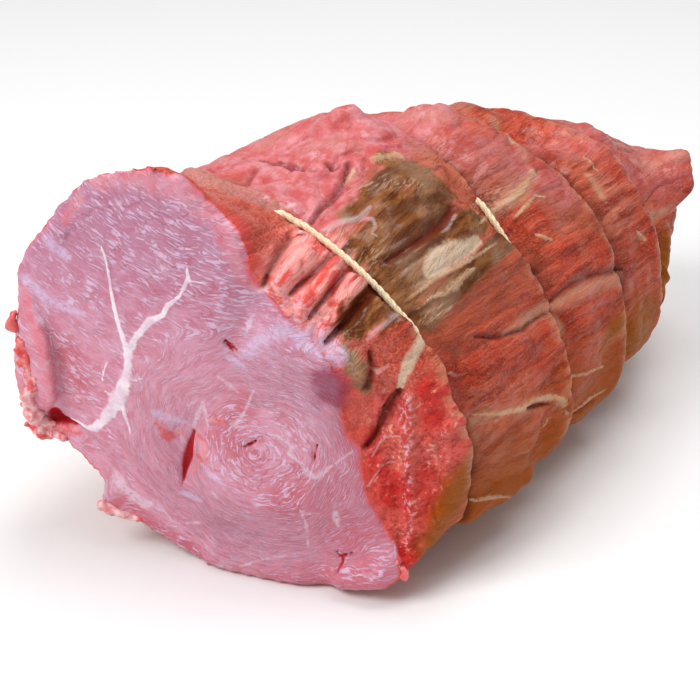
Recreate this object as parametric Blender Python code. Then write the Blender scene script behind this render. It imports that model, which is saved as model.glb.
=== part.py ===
"""A tied joint of beef fillet, lying on its flattened underside.

The joint lies along +Y, its cut face at the low-Y end and +Z up. It is one solid of
meat, drawn in by four separate loops of butcher's twine, so that it swells into five
lobes. The origin is on the board, below the middle of the joint.
"""
import math
from collections import namedtuple

import bmesh
import bpy
import numpy as np
from mathutils import Matrix, Vector, noise

MM = 0.001

# One section of the untied joint, in millimetres. It stands at a distance along the
# joint and leans back by lean mm for each mm of x. Its outermost points are left, right,
# top and base; shoulder and haunch are the fullness, from 1.2 to 2.5, of its upper right
# and its lower left quarter.
Section = namedtuple(
    "Section", "along lean left right right_z top top_x base_x base_z shoulder haunch"
)
BODY = [
    Section(-72, 0.36, -52, 48, 10, 113, -9, -1, 0, 1.38, 1.35),
    Section(-59, 0.25, -58, 55, 35, 102, -13, 11, 0, 1.75, 1.90),
    Section(-23, 0.0, -54, 58, 32, 104, -7, 13, 0, 1.60, 2.20),
    Section(15, 0.0, -55, 54, 34, 96, 1, 13, 0, 1.60, 2.20),
    Section(48, 0.0, -45, 50, 31, 87, 7, 5, 4, 1.90, 2.20),
    Section(75, 0.0, -28, 43, 31, 78, 9, 5, 11, 1.90, 2.20),
    Section(95, 0.0, -15, 35, 48, 67, 9, 4, 22, 2.20, 2.20),
]
LEFT_Z = 48
SHOULDER_LEFT = 2.2
HAUNCH_RIGHT = 2.2

# Each loop of twine: where it lies along the joint and how deep it bites.
Tie = namedtuple("Tie", "along bite")
TIES = [Tie(-54, 5.0), Tie(-5, 6.5), Tie(32, 5.0), Tie(61, 4.5)]
BASE_BITE = 4.0
CREASE_SHARPNESS = 3.0
CHANNEL_HALF_WIDTH = 1.6

# The underside is pressed flat by this much where the joint rests on the board.
FLATTENED = 1.5

POINTS_PER_QUARTER = 18
RINGS_PER_LOBE = 8
RING_CROWDING = 0.6
FACE_RINGS = 9
FACE_CROWN = 2.0
HALVE_BELOW = 0.5
TAIL_CAP = [(0.90, 4.5), (0.68, 8.0), (0.38, 10.0)]
TAIL_TIP = 10.5

# Gentle swells of the muscle, and the distances from cut face, twine and board over
# which they and all other relief rise from nothing.
SWELL_HEIGHT = 1.8
SWELL_SIZE = 26.0
SWELL_FROM = (-75.0, -30.0)
TWINE_BERTH = (2.6, 6.6)
BOARD_BERTH = (0.5, 6.0)

# Creases (height below zero) and ridges (above zero) along a path over the skin.
Mark = namedtuple("Mark", "path half_width height")
MARKS = [
    # the split in the cut face's rim, running in over the face and back over the skin
    Mark([(8, -90, 69), (11, -88, 77), (14, -85, 85), (14, -80, 92), (9, -70, 92)], 3.2, -5.0),
    # the strands and folds of muscle below that split
    Mark([(19, -83, 83), (19, -68, 87)], 3.0, -2.2),
    Mark([(22, -82, 77), (25, -71, 82)], 3.0, -2.2),
    Mark([(28, -78, 70), (30, -71, 75)], 3.0, -2.2),
    Mark([(30, -75, 71), (34, -72, 69), (36, -63, 71)], 3.2, -2.5),
    # the low corner of the first lobe: its gap beside the face and its upright crease
    Mark([(34, -77, 58), (37, -76, 45), (39, -76, 37)], 3.0, -3.0),
    Mark([(42, -69, 58), (45, -70, 44), (46, -71, 31), (47, -70, 20)], 3.0, -3.0),
    # the slit and the cleft on top of the second lobe
    Mark([(-14, -51, 100), (-8, -49, 100), (-3, -49, 98)], 3.0, -3.5),
    Mark([(4, -39, 98), (7, -46, 95), (6, -52, 93)], 3.2, -4.0),
    # the high crest, with the hollow before it, and the fat on the second lobe
    Mark([(-32, -42, 97), (-14, -44, 101)], 11.0, -3.0),
    Mark([(-24, -30, 100), (-18, -16, 100)], 12.0, 2.5),
    Mark([(34, -47, 77), (33, -36, 78), (31, -22, 78)], 5.0, 1.5),
    Mark([(55, -14, 32)], 4.0, 2.0),
    # the seams low on the second and third lobes
    Mark([(51, -47, 46), (54, -33, 43), (55, -16, 37)], 3.0, -2.0),
    Mark([(51, -50, 25), (55, -39, 20), (55, -25, 14)], 3.0, -2.0),
    Mark([(51, -1, 25), (55, 8, 27), (54, 20, 25)], 3.0, -2.0),
    # the folded tail and its raised tip
    Mark([(38, 68, 56), (40, 72, 44), (37, 76, 32)], 4.0, -3.5),
    Mark([(28, 96, 60), (31, 101, 63)], 7.0, 5.0),
    # the slit and the hollow in the cut face, and the ragged edge on its left
    Mark([(-3, -94, 44), (-5, -94, 36), (-7, -94, 27)], 2.8, -5.0),
    Mark([(-41, -105, 37)], 4.0, -5.0),
    Mark([(-48, -107, 64), (-49, -107, 52), (-46, -107, 40)], 5.0, 3.0),
    Mark([(-31, -102, 12), (-26, -101, 9)], 4.5, 3.5),
]

TWINE_RADIUS = 0.8
TWINE_GAP = 0.4
TWINE_SIDES = 6
TWINE_STEPS = 60

# The knots sit at half height on the left side, each with two short trimmed ends.
KNOT_HEIGHT = 40
KNOT_RADIUS = 1.9
KNOT_SEGMENTS = 8
KNOT_LIFT = 1.0
END_LENGTH = 7.0
END_DIRECTIONS = [(-0.70, 0.55, -0.45), (-0.80, -0.40, -0.45)]

Finish = namedtuple("Finish", "colour roughness")
MEAT_FINISH = Finish((0.42, 0.09, 0.08), 0.4)
TWINE_FINISH = Finish((0.62, 0.5, 0.33), 0.85)
SHARP_ANGLE = 50


def quarter(fullness, turn):
    """A point of a unit quarter superellipse; turn runs from 0 at (1, 0) to 1 at (0, 1)."""
    angle = turn * math.pi / 2
    c, s = math.cos(angle), math.sin(angle)
    reach = (c**fullness + s**fullness) ** (-1 / fullness)
    return c * reach, s * reach


def section_outline(sec):
    """The outline of a section as (x, z) points, counter-clockwise from its right side."""
    quarters = [
        (sec.shoulder, sec.top_x, sec.right_z, sec.right, sec.top, False),
        (SHOULDER_LEFT, sec.top_x, LEFT_Z, sec.left, sec.top, True),
        (sec.haunch, sec.base_x, LEFT_Z, sec.left, sec.base_z, False),
        (HAUNCH_RIGHT, sec.base_x, sec.right_z, sec.right, sec.base_z, True),
    ]
    points = []
    for fullness, mid_x, mid_z, side_x, end_z, backwards in quarters:
        for step in range(POINTS_PER_QUARTER):
            turn = step / POINTS_PER_QUARTER
            c, s = quarter(fullness, 1 - turn if backwards else turn)
            points.append((mid_x + (side_x - mid_x) * c, mid_z + (end_z - mid_z) * s))
    return np.array(points)


def blended_section(along):
    """The untied section at a distance along the joint, on a smooth curve through BODY."""
    stations = [s.along for s in BODY]
    place = min(max(along, stations[0]), stations[-1])
    i = min(max(int(np.searchsorted(stations, place, side="right")) - 1, 0), len(BODY) - 2)
    a, b = BODY[i], BODY[i + 1]
    before = BODY[max(i - 1, 0)]
    after = BODY[min(i + 2, len(BODY) - 1)]
    span = b.along - a.along
    t = (place - a.along) / span
    values = []
    for p, q, r, s in zip(before, a, b, after):
        slope_a = (r - p) / (b.along - before.along) * span
        slope_b = (s - q) / (after.along - a.along) * span
        values.append(
            (2 * t**3 - 3 * t**2 + 1) * q
            + (t**3 - 2 * t**2 + t) * slope_a
            + (3 * t**2 - 2 * t**3) * r
            + (t**3 - t**2) * slope_b
        )
    return Section(*values)._replace(along=along)


def lobe_edges():
    """The places of the cut face, of each tie and of the last full section."""
    return [BODY[0].along] + [t.along for t in TIES] + [BODY[-1].along]


def tightness(along):
    """The nearest tie and, from 0 at a lobe's crown to 1 at the tie, how near it is."""
    edges = lobe_edges()
    last = len(TIES)
    lobe = min(max(int(np.searchsorted(edges, along, side="right")) - 1, 0), last)
    low, high = edges[lobe], edges[lobe + 1]
    crown = low if lobe == 0 else high if lobe == last else (low + high) / 2
    side = lobe if along > crown else lobe - 1
    if side < 0 or side >= last:
        return None, 0.0
    reach = abs(TIES[side].along - crown) - CHANNEL_HALF_WIDTH
    return TIES[side], min(abs(along - crown) / reach, 1.0)


def ring_stations():
    """Distances along the joint at which the mesh has a ring, closer together at the ties."""
    stations = []
    edges = lobe_edges()
    for n, (low, high) in enumerate(zip(edges, edges[1:])):
        start = low + (CHANNEL_HALF_WIDTH if n else 0)
        stop = high - (CHANNEL_HALF_WIDTH if n < len(edges) - 2 else 0)
        for k in range(RINGS_PER_LOBE + 1):
            even = k / RINGS_PER_LOBE
            eased = 0.5 - 0.5 * math.cos(math.pi * even)
            share = even + (eased - even) * RING_CROWDING
            stations.append(start + (stop - start) * share)
    return stations


def tied_outline(along):
    """The section drawn in by the twine and pressed on the board, as (x, z) points."""
    sec = blended_section(along)
    outline = section_outline(sec)
    centre = np.array([(sec.left + sec.right) / 2, (sec.top + sec.base_z) / 2])
    spokes = outline - centre
    length = np.linalg.norm(spokes, axis=1)
    tie, tight = tightness(along)
    if tie:
        upness = np.clip(spokes[:, 1] / length + 1.0, 0, 1)
        bite = BASE_BITE + (tie.bite - BASE_BITE) * upness
        outline = centre + spokes * (1 - bite * tight**CREASE_SHARPNESS / length)[:, None]
    outline[:, 1] = np.maximum(outline[:, 1] - FLATTENED, 0)
    return outline


def ring_points(along):
    """The points in space of one ring of the joint's skin, in millimetres."""
    sec = blended_section(along)
    outline = tied_outline(along)
    y = along + sec.lean * (outline[:, 0] - BODY[0].right)
    return np.column_stack([outline[:, 0], y, outline[:, 1]])


def skin_quads(bm, first, second):
    """Faces between two rings of vertices."""
    n = len(first)
    for i in range(n):
        j = (i + 1) % n
        bm.faces.new((first[i], first[j], second[j], second[i]))


def halving_faces(bm, outer, inner):
    """Faces between a ring and a smaller one that has half as many vertices."""
    n = len(inner)
    for i in range(n):
        a, b, c = outer[2 * i], outer[2 * i + 1], outer[(2 * i + 2) % (2 * n)]
        bm.faces.new((a, b, inner[i]))
        bm.faces.new((b, inner[(i + 1) % n], inner[i]))
        bm.faces.new((b, c, inner[(i + 1) % n]))


def close_end(bm, ring, hub, steps, tip):
    """Closes an open ring by ever smaller rings around a hub; steps are (size, reach)."""
    rim = np.array([vert.co for vert in ring])
    outer, stride = ring, 1
    added = []
    for size, reach in steps:
        if stride * HALVE_BELOW > size and len(outer) % 2 == 0:
            stride *= 2
        inner = [bm.verts.new(Vector(hub + (p - hub) * size + reach)) for p in rim[::stride]]
        join = skin_quads if len(inner) == len(outer) else halving_faces
        join(bm, outer, inner)
        added += inner
        outer = inner
    peak = bm.verts.new(Vector(hub + tip))
    fan(bm, outer, peak)
    return added + [peak]


def fan(bm, ring, tip):
    """Faces between a ring of vertices and a point."""
    n = len(ring)
    for i in range(n):
        bm.faces.new((ring[i], ring[(i + 1) % n], tip))


def smooth_step(value, low, high):
    """0 up to low and 1 from high, with a smooth rise between them."""
    t = min(max((value - low) / (high - low), 0.0), 1.0)
    return t * t * (3 - 2 * t)


def distance_to_path(point, path):
    """The distance from a point to a path of straight runs."""
    best = math.inf
    for a, b in zip(path, path[1:] or path):
        run = b - a
        share = 0.0
        if run.length_squared > 0:
            share = min(max((point - a).dot(run) / run.length_squared, 0.0), 1.0)
        best = min(best, (point - a - run * share).length)
    return best


def away_from_twine(along):
    """0 beside the twine, where the channel stays true, rising to 1 clear of it."""
    nearest = min(abs(along - t.along) for t in TIES)
    return smooth_step(nearest, *TWINE_BERTH)


def relief_at(point):
    """How far the skin stands out from the tied body at a point, in millimetres."""
    height = SWELL_HEIGHT * noise.noise(point / SWELL_SIZE) * smooth_step(point.y, *SWELL_FROM)
    for mark in MARKS:
        path = [Vector(p) for p in mark.path]
        near = distance_to_path(point, path) / mark.half_width
        height += mark.height * math.exp(-near * near)
    return height


def build_meat():
    """The meat: a skin of rings, a crowned cut face and a rounded tail, with its relief."""
    bm = bmesh.new()
    stations = ring_stations()
    rows = [[bm.verts.new(Vector(p)) for p in ring_points(along)] for along in stations]
    for near, far in zip(rows, rows[1:]):
        skin_quads(bm, near, far)
    along_of = {vert: along for row, along in zip(rows, stations) for vert in row}

    outwards = np.array([BODY[0].lean, -1.0, 0.0])
    outwards /= np.linalg.norm(outwards)
    sizes = [1 - k / FACE_RINGS for k in range(1, FACE_RINGS)]
    steps = [(size, outwards * FACE_CROWN * (1 - size**2)) for size in sizes]
    hub = ring_points(stations[0]).mean(axis=0)
    for vert in close_end(bm, rows[0], hub, steps, outwards * FACE_CROWN):
        along_of[vert] = stations[0]

    steps = [(size, np.array([0, reach, 0])) for size, reach in TAIL_CAP]
    hub = ring_points(stations[-1]).mean(axis=0)
    for vert in close_end(bm, rows[-1], hub, steps, np.array([0, TAIL_TIP, 0])):
        along_of[vert] = stations[-1]

    bmesh.ops.recalc_face_normals(bm, faces=bm.faces)
    bm.normal_update()
    moves = {}
    for vert, along in along_of.items():
        off_board = smooth_step(vert.co.z, *BOARD_BERTH)
        moves[vert] = vert.normal * relief_at(vert.co) * away_from_twine(along) * off_board
    for vert, move in moves.items():
        vert.co += move
        vert.co.z = max(vert.co.z, 0.0)
    return new_object("meat", bm, new_material("raw_meat", MEAT_FINISH))


def twine_path(tie):
    """The centre line of one loop of twine, as evenly spaced points in millimetres."""
    rim = ring_points(tie.along)
    ahead = np.roll(rim, -1, axis=0) - np.roll(rim, 1, axis=0)
    outwards = np.column_stack([ahead[:, 2], np.zeros(len(rim)), -ahead[:, 0]])
    outwards /= np.linalg.norm(outwards, axis=1)[:, None]
    route = rim + outwards * (TWINE_RADIUS + TWINE_GAP)
    closed = np.vstack([route, route[:1]])
    travelled = np.concatenate([[0], np.cumsum(np.linalg.norm(np.diff(closed, axis=0), axis=1))])
    stops = np.linspace(0, travelled[-1], TWINE_STEPS, endpoint=False)
    return np.column_stack([np.interp(stops, travelled, closed[:, k]) for k in range(3)])


def build_twine(number, tie):
    """One closed loop of twine with its knot and two trimmed ends, as one solid."""
    twine = new_material(f"twine_{number}", TWINE_FINISH)
    bm = bmesh.new()
    path = [Vector(p) for p in twine_path(tie)]
    rows = []
    for i, point in enumerate(path):
        ahead = (path[(i + 1) % TWINE_STEPS] - path[i - 1]).normalized()
        side = Vector((0, 1, 0)).cross(ahead).normalized()
        up = ahead.cross(side)
        row = []
        for k in range(TWINE_SIDES):
            turn = 2 * math.pi * k / TWINE_SIDES
            offset = side * math.cos(turn) + up * math.sin(turn)
            row.append(bm.verts.new(point + offset * TWINE_RADIUS))
        rows.append(row)
    for near, far in zip(rows, rows[1:] + rows[:1]):
        skin_quads(bm, near, far)
    loop = new_object(f"string_tie_{number}", bm, twine)

    on_left = [p for p in path if p.x < 0]
    knot_at = min(on_left, key=lambda p: abs(p.z - KNOT_HEIGHT)) - Vector((KNOT_LIFT, 0, 0))
    bm = bmesh.new()
    bmesh.ops.create_uvsphere(
        bm,
        u_segments=KNOT_SEGMENTS,
        v_segments=KNOT_SEGMENTS - 2,
        radius=KNOT_RADIUS,
        matrix=Matrix.Translation(knot_at),
    )
    pieces = [new_object("knot", bm, twine)]
    for direction in END_DIRECTIONS:
        ahead = Vector(direction).normalized()
        turned = ahead.to_track_quat("Z", "Y").to_matrix().to_4x4()
        middle = Matrix.Translation(knot_at + ahead * END_LENGTH / 2)
        bm = bmesh.new()
        bmesh.ops.create_cone(
            bm,
            cap_ends=True,
            segments=TWINE_SIDES,
            radius1=TWINE_RADIUS,
            radius2=TWINE_RADIUS,
            depth=END_LENGTH,
            matrix=middle @ turned,
        )
        pieces.append(new_object("twine_end", bm, twine))
    fuse(loop, pieces)
    return loop


def fuse(body, pieces):
    """Joins the pieces to the body as one closed solid."""
    for piece in pieces:
        join = body.modifiers.new("join", "BOOLEAN")
        join.operation = "UNION"
        join.object = piece
    depsgraph = bpy.context.evaluated_depsgraph_get()
    body.data = bpy.data.meshes.new_from_object(body.evaluated_get(depsgraph))
    body.modifiers.clear()
    for piece in pieces:
        bpy.data.objects.remove(piece)


def stand_on_origin(objects):
    """Moves the meshes so that the origin is exactly below the middle of them all."""
    places = np.array([v.co for obj in objects for v in obj.data.vertices])
    low, high = places.min(axis=0), places.max(axis=0)
    middle = Vector(((low[0] + high[0]) / 2, (low[1] + high[1]) / 2, low[2]))
    for obj in objects:
        obj.data.transform(Matrix.Translation(-middle))


def new_object(name, bm, material):
    """An object in metres from a bmesh in millimetres."""
    bmesh.ops.recalc_face_normals(bm, faces=bm.faces)
    bmesh.ops.scale(bm, vec=(MM, MM, MM), verts=bm.verts)
    mesh = bpy.data.meshes.new(name)
    bm.to_mesh(mesh)
    bm.free()
    mesh.shade_smooth()
    mesh.set_sharp_from_angle(angle=math.radians(SHARP_ANGLE))
    mesh.materials.append(material)
    obj = bpy.data.objects.new(name, mesh)
    bpy.context.scene.collection.objects.link(obj)
    return obj


def new_material(name, finish):
    """A plain Principled material with a colour and a roughness."""
    material = bpy.data.materials.new(name)
    material.use_nodes = True
    shader = material.node_tree.nodes["Principled BSDF"]
    shader.inputs["Base Color"].default_value = (*finish.colour, 1.0)
    shader.inputs["Roughness"].default_value = finish.roughness
    shader.inputs["Metallic"].default_value = 0.0
    return material


def build():
    """The whole joint, in an empty scene."""
    for old in list(bpy.data.objects):
        bpy.data.objects.remove(old)
    loops = [build_twine(number, tie) for number, tie in enumerate(TIES, start=1)]
    stand_on_origin([build_meat()] + loops)


build()
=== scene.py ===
import math
import random

import bmesh
import bpy
import numpy as np
from mathutils import Euler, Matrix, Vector, noise
from mathutils.bvhtree import BVHTree


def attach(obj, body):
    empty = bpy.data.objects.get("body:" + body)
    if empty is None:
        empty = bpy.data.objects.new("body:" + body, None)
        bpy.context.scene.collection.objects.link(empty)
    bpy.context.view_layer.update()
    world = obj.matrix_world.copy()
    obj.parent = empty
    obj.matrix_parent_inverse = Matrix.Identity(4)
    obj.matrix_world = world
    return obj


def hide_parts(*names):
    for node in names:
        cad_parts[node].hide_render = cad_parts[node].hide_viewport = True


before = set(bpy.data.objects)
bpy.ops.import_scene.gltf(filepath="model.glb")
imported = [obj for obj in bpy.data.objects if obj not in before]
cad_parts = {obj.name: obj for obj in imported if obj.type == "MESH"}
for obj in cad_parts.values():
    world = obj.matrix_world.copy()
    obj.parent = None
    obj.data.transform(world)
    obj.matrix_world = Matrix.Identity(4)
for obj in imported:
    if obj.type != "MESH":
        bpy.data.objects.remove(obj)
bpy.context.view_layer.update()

MM = 0.001

# The camera that sees the joint as the photo does. Pixels are those of a 700 by 700 picture.
PICTURE = 700
SENSOR = 36.0
LENS = 74.06
CAMERA_PLACE = Vector((212.05, -304.83, 238.46)) * MM
CAMERA_AIM = Vector((-0.52914, 0.68715, -0.49783))

# The skin of the meat: an even net, whose step is halved where the skin faces the camera by more than
# SEEN_SLOPE. Corners of a solid within MERGE are joined, and two triangles that lie flat and square
# enough become one face.
SKIN_STEP = 1.42 * MM
SKIN_SMOOTHING = 4
SEEN_SLOPE = 0.2
MERGE = 0.02 * MM
FLAT_TURN = math.radians(25)
SQUARE_TURN = math.radians(40)

# The rim between the cut face and the sides. Along Y, its faces' normals are below FACE_NORMAL on the
# cut face and above RIM_NORMAL on the side. It lies within RIM_REACH of the front and RIM_SLACK of its
# plane, and at least RIM_LEAST from its middle, with one place for each sector. Edges between faces
# above SIDE_NORMAL run back from it by SIDE_RUN. Corners within CREASE_SLACK of it stay sharp.
FACE_NORMAL = -0.75
RIM_NORMAL = -0.5
RIM_REACH = 30 * MM
RIM_SLACK = 2.4 * MM
RIM_LEAST = 30 * MM
RIM_SECTORS = 72
SIDE_RUN = 1.2 * MM
SIDE_NORMAL = -0.72
CREASE_SLACK = 1.0 * MM

# Strokes laid on the meat: the pixels between their points, the longest gap that a leg may cross,
# how far a field reaches in half widths, and the steps towards the picture's middle in which a
# place beside the meat looks for it.
LEG_STEP = 4.0
LONGEST_LEG = 14.0 * MM
FAR = 4.0
INWARD_STEPS = np.linspace(0, 0.12, 25)
TINY = 1e-12

# Where the sculpting takes a place for part of the cut face: its normal along Y at the edge, and
# further in than INNER, and how far behind the rim's plane it may be. Then the run of depths over
# which the side becomes the face, and the run along X over which the hidden side begins.
FACE_SLOPE = -0.45
INNER_SLOPE = 0.1
INNER = 2.5 * MM
FACE_DEPTH = 7.0 * MM
SIDE_LEAST = 0.3 * MM
CUT_RUN = (-0.3 * MM, 0.8 * MM)
HIDDEN_RUN = (-8 * MM, -28 * MM)

# Patterns of noise in the relief: the width of a bump, how the pattern is stretched along X, Y and Z,
# and where in the noise it starts.
EVEN = (1, 1, 1)
SIDE_BEND = (40 * MM, EVEN, 7.0)
BUNDLES = (5.5 * MM, (1, 9, 1), 3.0)
THREADS = (2.4 * MM, (1, 10, 1), 11.0)
LUMPS = (13 * MM, EVEN, 21.0)
WRINKLES = (7 * MM, (1, 1.6, 1), 31.0)
CELLS = (3.2 * MM, EVEN, 41.0)
FACE_LUMPS = (6 * MM, EVEN, 51.0)
CREASE_WANDER = (15 * MM, EVEN, 61.0)
LOBE_SWELL = (24 * MM, EVEN, 71.0)
FLAKES = (3.6 * MM, (1, 1, 1.8), 81.0)
TORN_LUMPS = (5 * MM, EVEN, 91.0)
GRAIN_RUFFLE = (9 * MM, EVEN, 101.0)
SCRAP_RIPPLE = (1.6 * MM, EVEN, 0.0)

# How high or deep the patterns are. What is eased is that much less on the wrinkled top. A narrow
# groove is the sharper power of its pattern.
SIDE_BEND_REACH = 5.0 * MM
LUMP_HEIGHT = 0.5 * MM
BUNDLE_DEPTH = 0.7 * MM
BUNDLE_EASED = 0.4 * MM
THREAD_DEPTH = 0.3 * MM
THREAD_EASED = 0.2 * MM
WRINKLE_DEPTH = 1.3 * MM
TORN_HEIGHT = 1.0 * MM
FLAKE_DEPTH = 0.9 * MM
CELL_DEPTH = 0.16 * MM
FACE_LUMP_HEIGHT = 0.12 * MM
SCRAP_RIPPLE_HEIGHT = 0.3 * MM
NARROW = 6
WIDE = 4
GROOVE_POWER = 1.4
# Relief that follows a painted field: the field's value where it starts and where it is full, and its
# height in millimetres.
FIELD_RELIEF = {
    "slit": (1.3, 0.3, -1.2),
    "vein": (1.5, 0.4, 0.25),
    "fat": (1.5, 0.5, 0.45),
    "silver": (1.6, 0.5, 0.25),
}

# Twine: three plies laid round the line of each tie. The line is measured at stations round the solid,
# except where the knot spreads a station's ring of corners wider than RING_SPREAD.
TIES = ["string_tie_1", "string_tie_2", "string_tie_3", "string_tie_4"]
PLIES = 3
PLY_RADIUS = 0.50 * MM
PLY_LAY = 0.44 * MM
TWINE_PITCH = 6.5 * MM
PLY_STEP = 0.75 * MM
TIE_STATIONS = 60
RING_SPREAD = 12 * MM
CURVE_PARTS = 8
# The knot on the hidden side: two coils, and two trimmed ends that droop.
KNOT_HEIGHT = 40 * MM
KNOT_LIFT = 0.7 * MM
KNOT_COIL = 1.25 * MM
KNOT_LENGTH = 2.4 * MM
KNOT_TURNS = 2
KNOT_TILTS = [-0.5, 0.8]
END_LENGTH = 7.0 * MM
END_DROOP = 1.2 * MM
END_DIRECTIONS = [(-0.70, 0.55, -0.45), (-0.80, -0.40, -0.45)]
END_STATIONS = 20

# Strokes are drawn over the picture: each point is pixels across, pixels down and half the stroke's
# width in millimetres.
BIG_VEIN = [
    [(100, 244, 0.2), (105, 257, 0.3), (109, 275, 0.35), (113, 301, 0.45), (117, 320, 0.55),
     (123, 339, 0.7), (128, 350, 1.1)],
    [(128, 351, 1.2), (136, 338, 0.8), (143, 328, 0.8), (150, 321, 0.9), (163, 315, 0.6), (168, 305, 0.6),
     (180, 296, 0.4), (185, 285, 0.4), (188, 277, 0.5), (187, 266, 0.2)],
    [(188, 281, 0.35), (198, 282, 0.3), (209, 284, 0.2)],
    [(128, 350, 1.2), (128, 366, 1.1), (126, 381, 1.4), (119, 396, 1.9), (112, 408, 1.9), (104, 420, 1.1),
     (95, 428, 1.1), (86, 430, 1.0), (79, 424, 0.9), (71, 419, 0.5)],
    [(121, 400, 1.2), (124, 412, 0.6), (128, 424, 0.35), (132, 438, 0.2)],
    [(128, 377, 0.5), (136, 380, 0.3), (142, 378, 0.3)],
    [(107, 362, 0.2), (104, 370, 0.3), (102, 382, 0.25)],
    [(108, 361, 0.25), (113, 363, 0.2), (120, 363, 0.3)],
    [(104, 390, 0.25), (110, 395, 0.5)],
]
SMALL_VEINS = [
    [(158, 264, 0.5), (163, 269, 0.9), (167, 269, 0.5)],
    [(77, 396, 0.5), (79, 397, 0.5)],
    [(46, 334, 0.35), (46, 345, 0.35), (48, 360, 0.3)],
    [(110, 485, 1.0), (122, 489, 1.5), (134, 497, 1.5), (144, 504, 1.4), (153, 504, 0.8)],
    [(203, 403, 0.3), (198, 413, 0.6), (193, 427, 0.5)],
    [(203, 405, 0.3), (206, 416, 0.6), (208, 429, 0.25)],
    [(196, 400, 0.3), (188, 406, 0.3)],
    [(254, 389, 0.3), (249, 402, 0.3), (241, 418, 0.4), (234, 425, 0.9)],
    [(251, 319, 0.5), (248, 327, 0.5), (244, 335, 0.35)],
    [(218, 377, 0.35), (228, 384, 0.55), (238, 393, 0.3)],
    [(268, 434, 0.3), (276, 436, 0.4), (285, 441, 0.4), (292, 446, 0.4), (289, 455, 0.5), (296, 459, 0.5),
     (302, 464, 0.6), (308, 474, 0.7), (317, 477, 0.6), (327, 469, 0.5), (335, 464, 0.3), (343, 458, 0.3),
     (352, 452, 0.3)],
    [(213, 493, 0.7), (217, 498, 0.7)],
    [(158, 505, 0.6), (164, 512, 0.5), (172, 521, 0.4), (180, 524, 0.25)],
    [(187, 523, 0.45), (199, 523, 0.45)],
    [(300, 511, 0.3), (306, 524, 0.35), (308, 547, 0.3)],
    [(301, 512, 0.3), (310, 514, 0.3), (320, 514, 0.2)],
    [(336, 513, 0.6), (336, 519, 0.9), (338, 526, 0.4)],
    [(247, 561, 0.25), (262, 557, 0.35), (277, 554, 0.3), (297, 554, 0.25)],
    [(393, 542, 0.3), (397, 556, 0.3)],
]
LILAC_PATCHES = [
    [(155, 413, 1.0), (166, 418, 1.3), (176, 421, 1.4), (184, 422, 0.9)],
    [(201, 464, 0.5), (210, 474, 1.1), (221, 483, 0.6)],
    [(182, 492, 0.5), (191, 496, 0.8), (201, 501, 0.5)],
    [(227, 357, 0.6), (236, 362, 0.9), (246, 370, 0.5)],
    [(40, 236, 1.2), (52, 248, 1.6), (68, 257, 1.0)],
    [(26, 280, 1.5), (34, 287, 1.4), (44, 297, 1.7), (56, 304, 1.3), (70, 309, 1.2), (84, 314, 0.8)],
    [(300, 338, 2.0), (320, 345, 3.0), (338, 358, 2.0)],
    [(246, 352, 1.5), (262, 338, 2.0), (285, 330, 1.5)],
]
SLITS = [
    [(193, 431, 0.4), (190, 443, 0.9), (188, 456, 1.3), (185, 468, 0.9), (182, 484, 0.3)],
    [(54, 412, 2.0), (60, 421, 3.0), (68, 434, 1.8)],
    [(237, 352, 0.3), (231, 347, 0.8), (225, 341, 0.3)],
    [(243, 448, 0.35), (250, 445, 0.5), (256, 441, 0.3)],
    [(316, 446, 0.25), (315, 455, 0.3), (313, 463, 0.2)],
    [(345, 553, 0.3), (346, 560, 0.4), (345, 568, 0.25)],
    [(336, 551, 0.2), (342, 556, 0.3), (353, 553, 0.2)],
]
SLIT_LIPS = [
    [(197, 436, 0.9), (204, 448, 1.6), (201, 460, 1.4), (192, 474, 0.7)],
    [(157, 424, 0.6), (168, 436, 1.4), (180, 433, 1.0)],
    [(208, 420, 0.7), (222, 421, 0.8)],
    [(52, 430, 1.6), (60, 440, 1.8), (72, 444, 1.2)],
    [(112, 505, 1.6), (124, 512, 1.4), (140, 519, 1.0)],
]
# The paler band inside the cut face's edge, and the tissue that lies torn beside the strands.
EDGE_PINK = [
    [(96, 182, 2.2), (125, 176, 2.8), (152, 180, 3.0), (185, 194, 3.0), (212, 210, 3.2), (232, 238, 3.4),
     (246, 268, 3.0), (258, 288, 1.8)],
    [(60, 215, 1.2), (78, 196, 1.8)],
    [(22, 290, 1.2), (20, 310, 2.0), (25, 330, 3.0), (30, 360, 2.6), (36, 395, 2.8), (46, 416, 2.4)],
]
TORN_TISSUE = [
    [(262, 290, 1.2), (268, 302, 3.0), (284, 306, 3.6), (300, 318, 3.6), (318, 336, 3.4), (334, 352, 2.6)],
    [(256, 300, 0.8), (247, 325, 1.6), (244, 338, 0.8)],
    [(228, 350, 1.2), (246, 352, 2.2), (262, 350, 2.0)],
]

# Where the cut face's threads lie close and show as pale dashes, and where its red is deeper.
DENSE_GRAIN = [
    [(110, 215, 9), (160, 225, 14), (205, 255, 12), (225, 300, 8)],
    [(285, 370, 8), (300, 410, 10), (262, 470, 12), (320, 500, 12), (230, 540, 8)],
]
BLUSH = [
    [(250, 575, 3), (320, 575, 5), (380, 570, 6)],
    [(345, 400, 3), (352, 440, 3), (362, 480, 3), (385, 530, 4)],
    [(290, 500, 7), (330, 500, 9), (350, 535, 9)],
    [(120, 500, 3), (160, 530, 3), (210, 560, 3)],
    [(240, 400, 4), (225, 430, 5), (240, 455, 4)],
    [(60, 350, 5), (80, 380, 5)],
]
# Where the cut face's colours reach over the bend at its upper right, and how deep that is.
FACE_MORE = [
    [(158, 184, 2.0), (178, 190, 2.6), (198, 202, 3.2), (214, 217, 3.4), (228, 236, 3.0), (240, 256, 2.2)],
]
FACE_MORE_DEPTH = 3.0
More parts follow.
